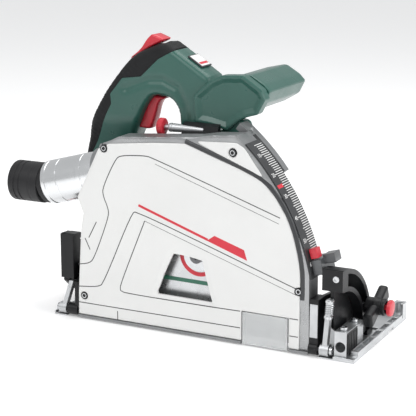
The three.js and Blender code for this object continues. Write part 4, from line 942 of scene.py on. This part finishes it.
seatOutline = [(-53.7, 196), (-53.7, 207.5), (-48, 209), (-45, 219.5), (-39.5, 222), (-39.5, 214),
               (-46, 204), (-50, 196)]
addPiece("adjuster_seat", *blockX(seatOutline, -34, 8), "blackPlastic", "guard", "black_parts", 34,
         ("adjuster_shaft",))
print("stage: fine adjuster")


# Small fittings: socket heads, bracket face, strut spring and nuts, fence cover, tube pad

def socketHead(place, way, radius, height, socket):
    # a chamfered screw head with a round socket, drawn as one closed profile
    return lathe([(0, 0.01), (0, radius), (height - 0.4, radius), (height, radius - 0.4), (height, socket),
                  (height - 0.9, socket), (height - 0.9, 0.01)], place, way, 36)


addPiece("quadrant_screw", *socketHead((155, -77, 84), (0, -1, 0), 3.4, 1.3, 1.7), "brightSteel", "base",
         "steel", 34)
sockets = [lathe([(0, 1.9), (0, 2.7), (-0.35, 2.7), (-0.35, 1.9), (0, 1.9)], (x, -79.5, z), (0, 1, 0), 32)
           for x, z in cover["screws"]]
addPiece("cover_screw_rings", *mergeShells(sockets), "brightSteel", "guard", "steel", 34)
addPiece("bracket_face", *blockX([(-78.3, 20), (-77.9, 20), (-77.9, 55), (-78.3, 55)], 128, 136.4),
         "castAlloy", "guard", "alloy", 34)
strut = dict(foot=(144.25, 8.0), top=(148.5, 62.0), y=-75.5, coilR=4.2, wire=0.55, low=46.0, high=57.0,
             turns=5)


def strutAt(z):
    share = (z - strut["foot"][1]) / (strut["top"][1] - strut["foot"][1])
    return strut["foot"][0] + share * (strut["top"][0] - strut["foot"][0])


# helix round the strut: its middle follows the strut while the angle grows evenly with height
coilZ = np.linspace(strut["low"], strut["high"], strut["turns"] * 20 + 1)
coilTurn = np.linspace(0, 2 * np.pi * strut["turns"], len(coilZ))
coilOut = np.stack([np.cos(coilTurn), np.sin(coilTurn), np.zeros_like(coilTurn)], axis=1)
coilPath = np.stack([strutAt(coilZ), np.full_like(coilZ, strut["y"]), coilZ],
                    axis=1) + strut["coilR"] * coilOut
wireTurn = np.linspace(0, 2 * np.pi, 8, endpoint=False)
wire = strut["wire"] * np.stack([np.cos(wireTurn), np.sin(wireTurn)], axis=1)
addPiece("strut_spring", *sweep(wire, coilPath, coilOut), "brightSteel", "base", "steel", 40)
strutWay = (strut["top"][0] - strut["foot"][0], 0, strut["top"][1] - strut["foot"][1])
nuts = [lathe([(0, 3.0), (0, 4.2), (0.5, 4.45), (3.1, 4.45), (3.6, 4.2), (3.6, 3.0), (0, 3.0)],
              (strutAt(z), strut["y"], z), strutWay, 6) for z in (41.5, 57.6)]
addPiece("strut_nuts", *mergeShells(nuts), "brightSteel", "base", "steel", 30)
fenceRibs = [blockX([(y, 7), (y + 2.6, 7), (y + 2.6, 27), (y, 27)], 167.9, 168.5) for y in np.arange(-74,
                                                                                                     -50,
                                                                                                     4.6)]
fenceFace = blockX([(-76, 5), (-48, 5), (-48, 29), (-76, 29)], 167.55, 168.0)
addPiece("fence_cover", *mergeShells([fenceFace] + fenceRibs), "blackPlastic", "base", "black_parts", 34)
# rectangular pad on the tube: a curved sheet between two radii, closed round its border
pad = dict(around=12, along=3, turn=(2, 30), run=(27, 47), radii=(24.4, 24.68))
padTurn, padRun = np.meshgrid(np.radians(np.linspace(*pad["turn"], pad["around"])),
                              np.linspace(*pad["run"], pad["along"]), indexing="ij")
padOut = (np.cos(padTurn)[..., None] * np.array([0, -1, 0])
          + np.sin(padTurn)[..., None] * np.array([-tubeAxis[2], 0, tubeAxis[0]]))
padMiddle = np.array(tubeStart) + padRun[..., None] * np.array(tubeAxis)
padSkins = np.concatenate([(padMiddle + radius * padOut).reshape(-1, 3) for radius in pad["radii"]])
padCount = pad["around"] * pad["along"]
cell = np.arange(padCount).reshape(pad["around"], pad["along"])
quads = np.stack([cell[:-1, :-1], cell[1:, :-1], cell[1:, 1:], cell[:-1, 1:]], axis=-1).reshape(-1, 4)
border = np.concatenate([cell[:-1, 0], cell[-1, :-1], cell[:0:-1, -1], cell[0, :0:-1]])
nextPoint = np.roll(border, -1)
padWalls = np.stack([border, nextPoint, nextPoint + padCount, border + padCount], axis=1)
padFaces = np.concatenate([quads, quads[:, ::-1] + padCount, padWalls])
addPiece("tube_pad", padSkins, padFaces, "tubeMetal", "dust_port", "alloy", 34)
print("stage: small fittings")


# Everything else keeps its CAD shape with softened edges

carried = [
    ("guard_housing", "housingSatin", "guard", "guard_alloy", 0.5),
    *[("cover_screw_%d" % number, "blackSteel", "guard", "steel", 0.3) for number in range(1, 5)],
    ("front_bevel_bracket", "blackPlastic", "guard", "black_parts", 0.6),
    ("rear_bevel_bracket", "blackPlastic", "guard", "black_parts", 0.6),
    ("pivot_shaft", "brightSteel", "guard", "steel", 0.4),
    ("plunge_spring", "darkSteel", "guard", "steel", 0.0),
    ("chip_guard", "clearPlastic", "chip_window", "clear_window", 0.3),
    ("depth_stop", "ridgeSatin", "stop", "dark_metal", 0.7),
    ("depth_stop_button", "redPlastic", "stop_button", "red_controls", 0.8),
    ("base_plate", "brushedPlate", "base", "alloy", 0.4),
    ("front_quadrant", "blackPlastic", "base", "black_parts", 0.6),
    ("rear_quadrant", "blackPlastic", "base", "black_parts", 0.6),
    ("front_strut", "castAlloy", "base", "alloy", 0.5),
    ("rear_strut", "castAlloy", "base", "alloy", 0.5),
    ("front_hinge_pin", "brightSteel", "base", "steel", 0.3),
    ("rear_hinge_pin", "brightSteel", "base", "steel", 0.3),
    ("fence_block", "castAlloy", "base", "alloy", 0.8),
    ("fence_screw_1", "brightSteel", "near_fence_screw", "steel", 0.3),
    ("fence_screw_2", "brightSteel", "far_fence_screw", "steel", 0.3),
    ("front_rail_adjuster", "blackPlastic", "front_adjuster", "black_parts", 0.3),
    ("rear_rail_adjuster", "blackPlastic", "rear_adjuster", "black_parts", 0.3),
    ("gearbox_housing", "castAlloy", "drive", "alloy", 0.7),
    ("arbor_bearing", "brightSteel", "drive", "steel", 0.3),
    ("motor_housing", "greenShell", "drive", "green_shell", 0.8),
    ("motor_end_cap", "blackPlastic", "drive", "black_parts", 0.7),
    ("stator", "copperCoil", "drive", "copper_winding", 0.4),
    ("handle_label", "printDarkAndGrooveShade", "drive", "white_cover", 0.3),
    ("battery_foot", "blackPlastic", "drive", "black_parts", 0.7),
    ("depth_pointer", "housingSatin", "drive", "dark_metal", 0.5),
    ("switch_block", "blackPlastic", "drive", "black_parts", 0.5),
    ("spindle_lock", "redPlastic", "spindle_pin", "red_controls", 0.4),
    ("battery_pack", "blackPlastic", "battery", "black_parts", 1.6),
    ("battery_release", "redPlastic", "battery_latch", "red_controls", 0.6),
    ("arbor_shaft", "brightSteel", "blade", "steel", 0.2),
    ("blade_flange", "brightSteel", "blade", "steel", 0.4),
    ("arbor_screw", "darkSteel", "blade", "steel", 0.3),
    ("layshaft", "brightSteel", "lay_gear", "steel", 0.2),
    ("rotor", "darkSteel", "motor_rotor", "steel", 0.3),
]
for node, look, body, slotName, width in carried:
    refineNode(node, look, body, width)
print("stage: carried pieces")


# Floor, light and camera

studio = dict(floorTone=(0.90, 0.90, 0.90), floorGlow=0.22, world=(0.93, 0.94, 0.95), worldStrength=0.66)
view = dict(azimuth=26.977, elevation=13.733, lens=116.83, right=-23.872, up=119.585, away=1492.506)


def makeFloor():
    verts = [(-9, -9, -0.0002), (9, -9, -0.0002), (9, 9, -0.0002), (-9, 9, -0.0002)]
    mesh = bpy.data.meshes.new("floor")
    mesh.from_pydata(verts, [], [(0, 1, 2, 3)])
    floor = bpy.data.objects.new("floor", mesh)
    bpy.context.scene.collection.objects.link(floor)
    paint = bpy.data.materials.new("floorPaint")
    paint.use_nodes = True
    shader = paint.node_tree.nodes["Principled BSDF"]
    shader.inputs["Base Color"].default_value = (*studio["floorTone"], 1)
    shader.inputs["Roughness"].default_value = 0.7
    shader.inputs["Emission Color"].default_value = (1, 1, 1, 1)
    shader.inputs["Emission Strength"].default_value = studio["floorGlow"]
    mesh.materials.append(paint)


def makeLight(name, place, target, size, power):
    light = bpy.data.lights.new(name, "AREA")
    light.shape = "RECTANGLE"
    light.size, light.size_y = size
    light.energy = power
    lamp = bpy.data.objects.new(name, light)
    lamp.location = place
    lamp.rotation_euler = (Vector(target) - Vector(place)).to_track_quat("-Z", "Y").to_euler()
    bpy.context.scene.collection.objects.link(lamp)


def makeCamera():
    a, e = math.radians(view["azimuth"]), math.radians(view["elevation"])
    back = Vector((math.sin(a) * math.cos(e), -math.cos(a) * math.cos(e), math.sin(e)))
    right = Vector((math.cos(a), math.sin(a), 0))
    up = back.cross(right)
    lens = bpy.data.cameras.new("camera")
    lens.lens = view["lens"]
    lens.sensor_width = 36
    camera = bpy.data.objects.new("camera", lens)
    place = (right * view["right"] + up * view["up"] + back * view["away"]) * mm
    turn = Matrix((right, up, back)).transposed().to_4x4()
    camera.matrix_world = Matrix.Translation(place) @ turn
    lens.clip_start, lens.clip_end = 0.05, 20
    bpy.context.scene.collection.objects.link(camera)
    bpy.context.scene.camera = camera


makeFloor()
makeLight("keyLight", (-0.5, -1.3, 1.5), (0, 0, 0.12), (1.2, 1.0), 12)
makeLight("sideLight", (1.5, -0.2, 0.9), (0, 0, 0.12), (1.0, 1.2), 13)
makeLight("topLight", (0.1, 0.5, 1.8), (0, 0, 0.1), (1.6, 1.2), 15)
world = bpy.data.worlds.new("studio")
bpy.context.scene.world = world
world.use_nodes = True
world.node_tree.nodes["Background"].inputs["Color"].default_value = (*studio["world"], 1)
world.node_tree.nodes["Background"].inputs["Strength"].default_value = studio["worldStrength"]
makeCamera()
print("stage: floor, light and camera")
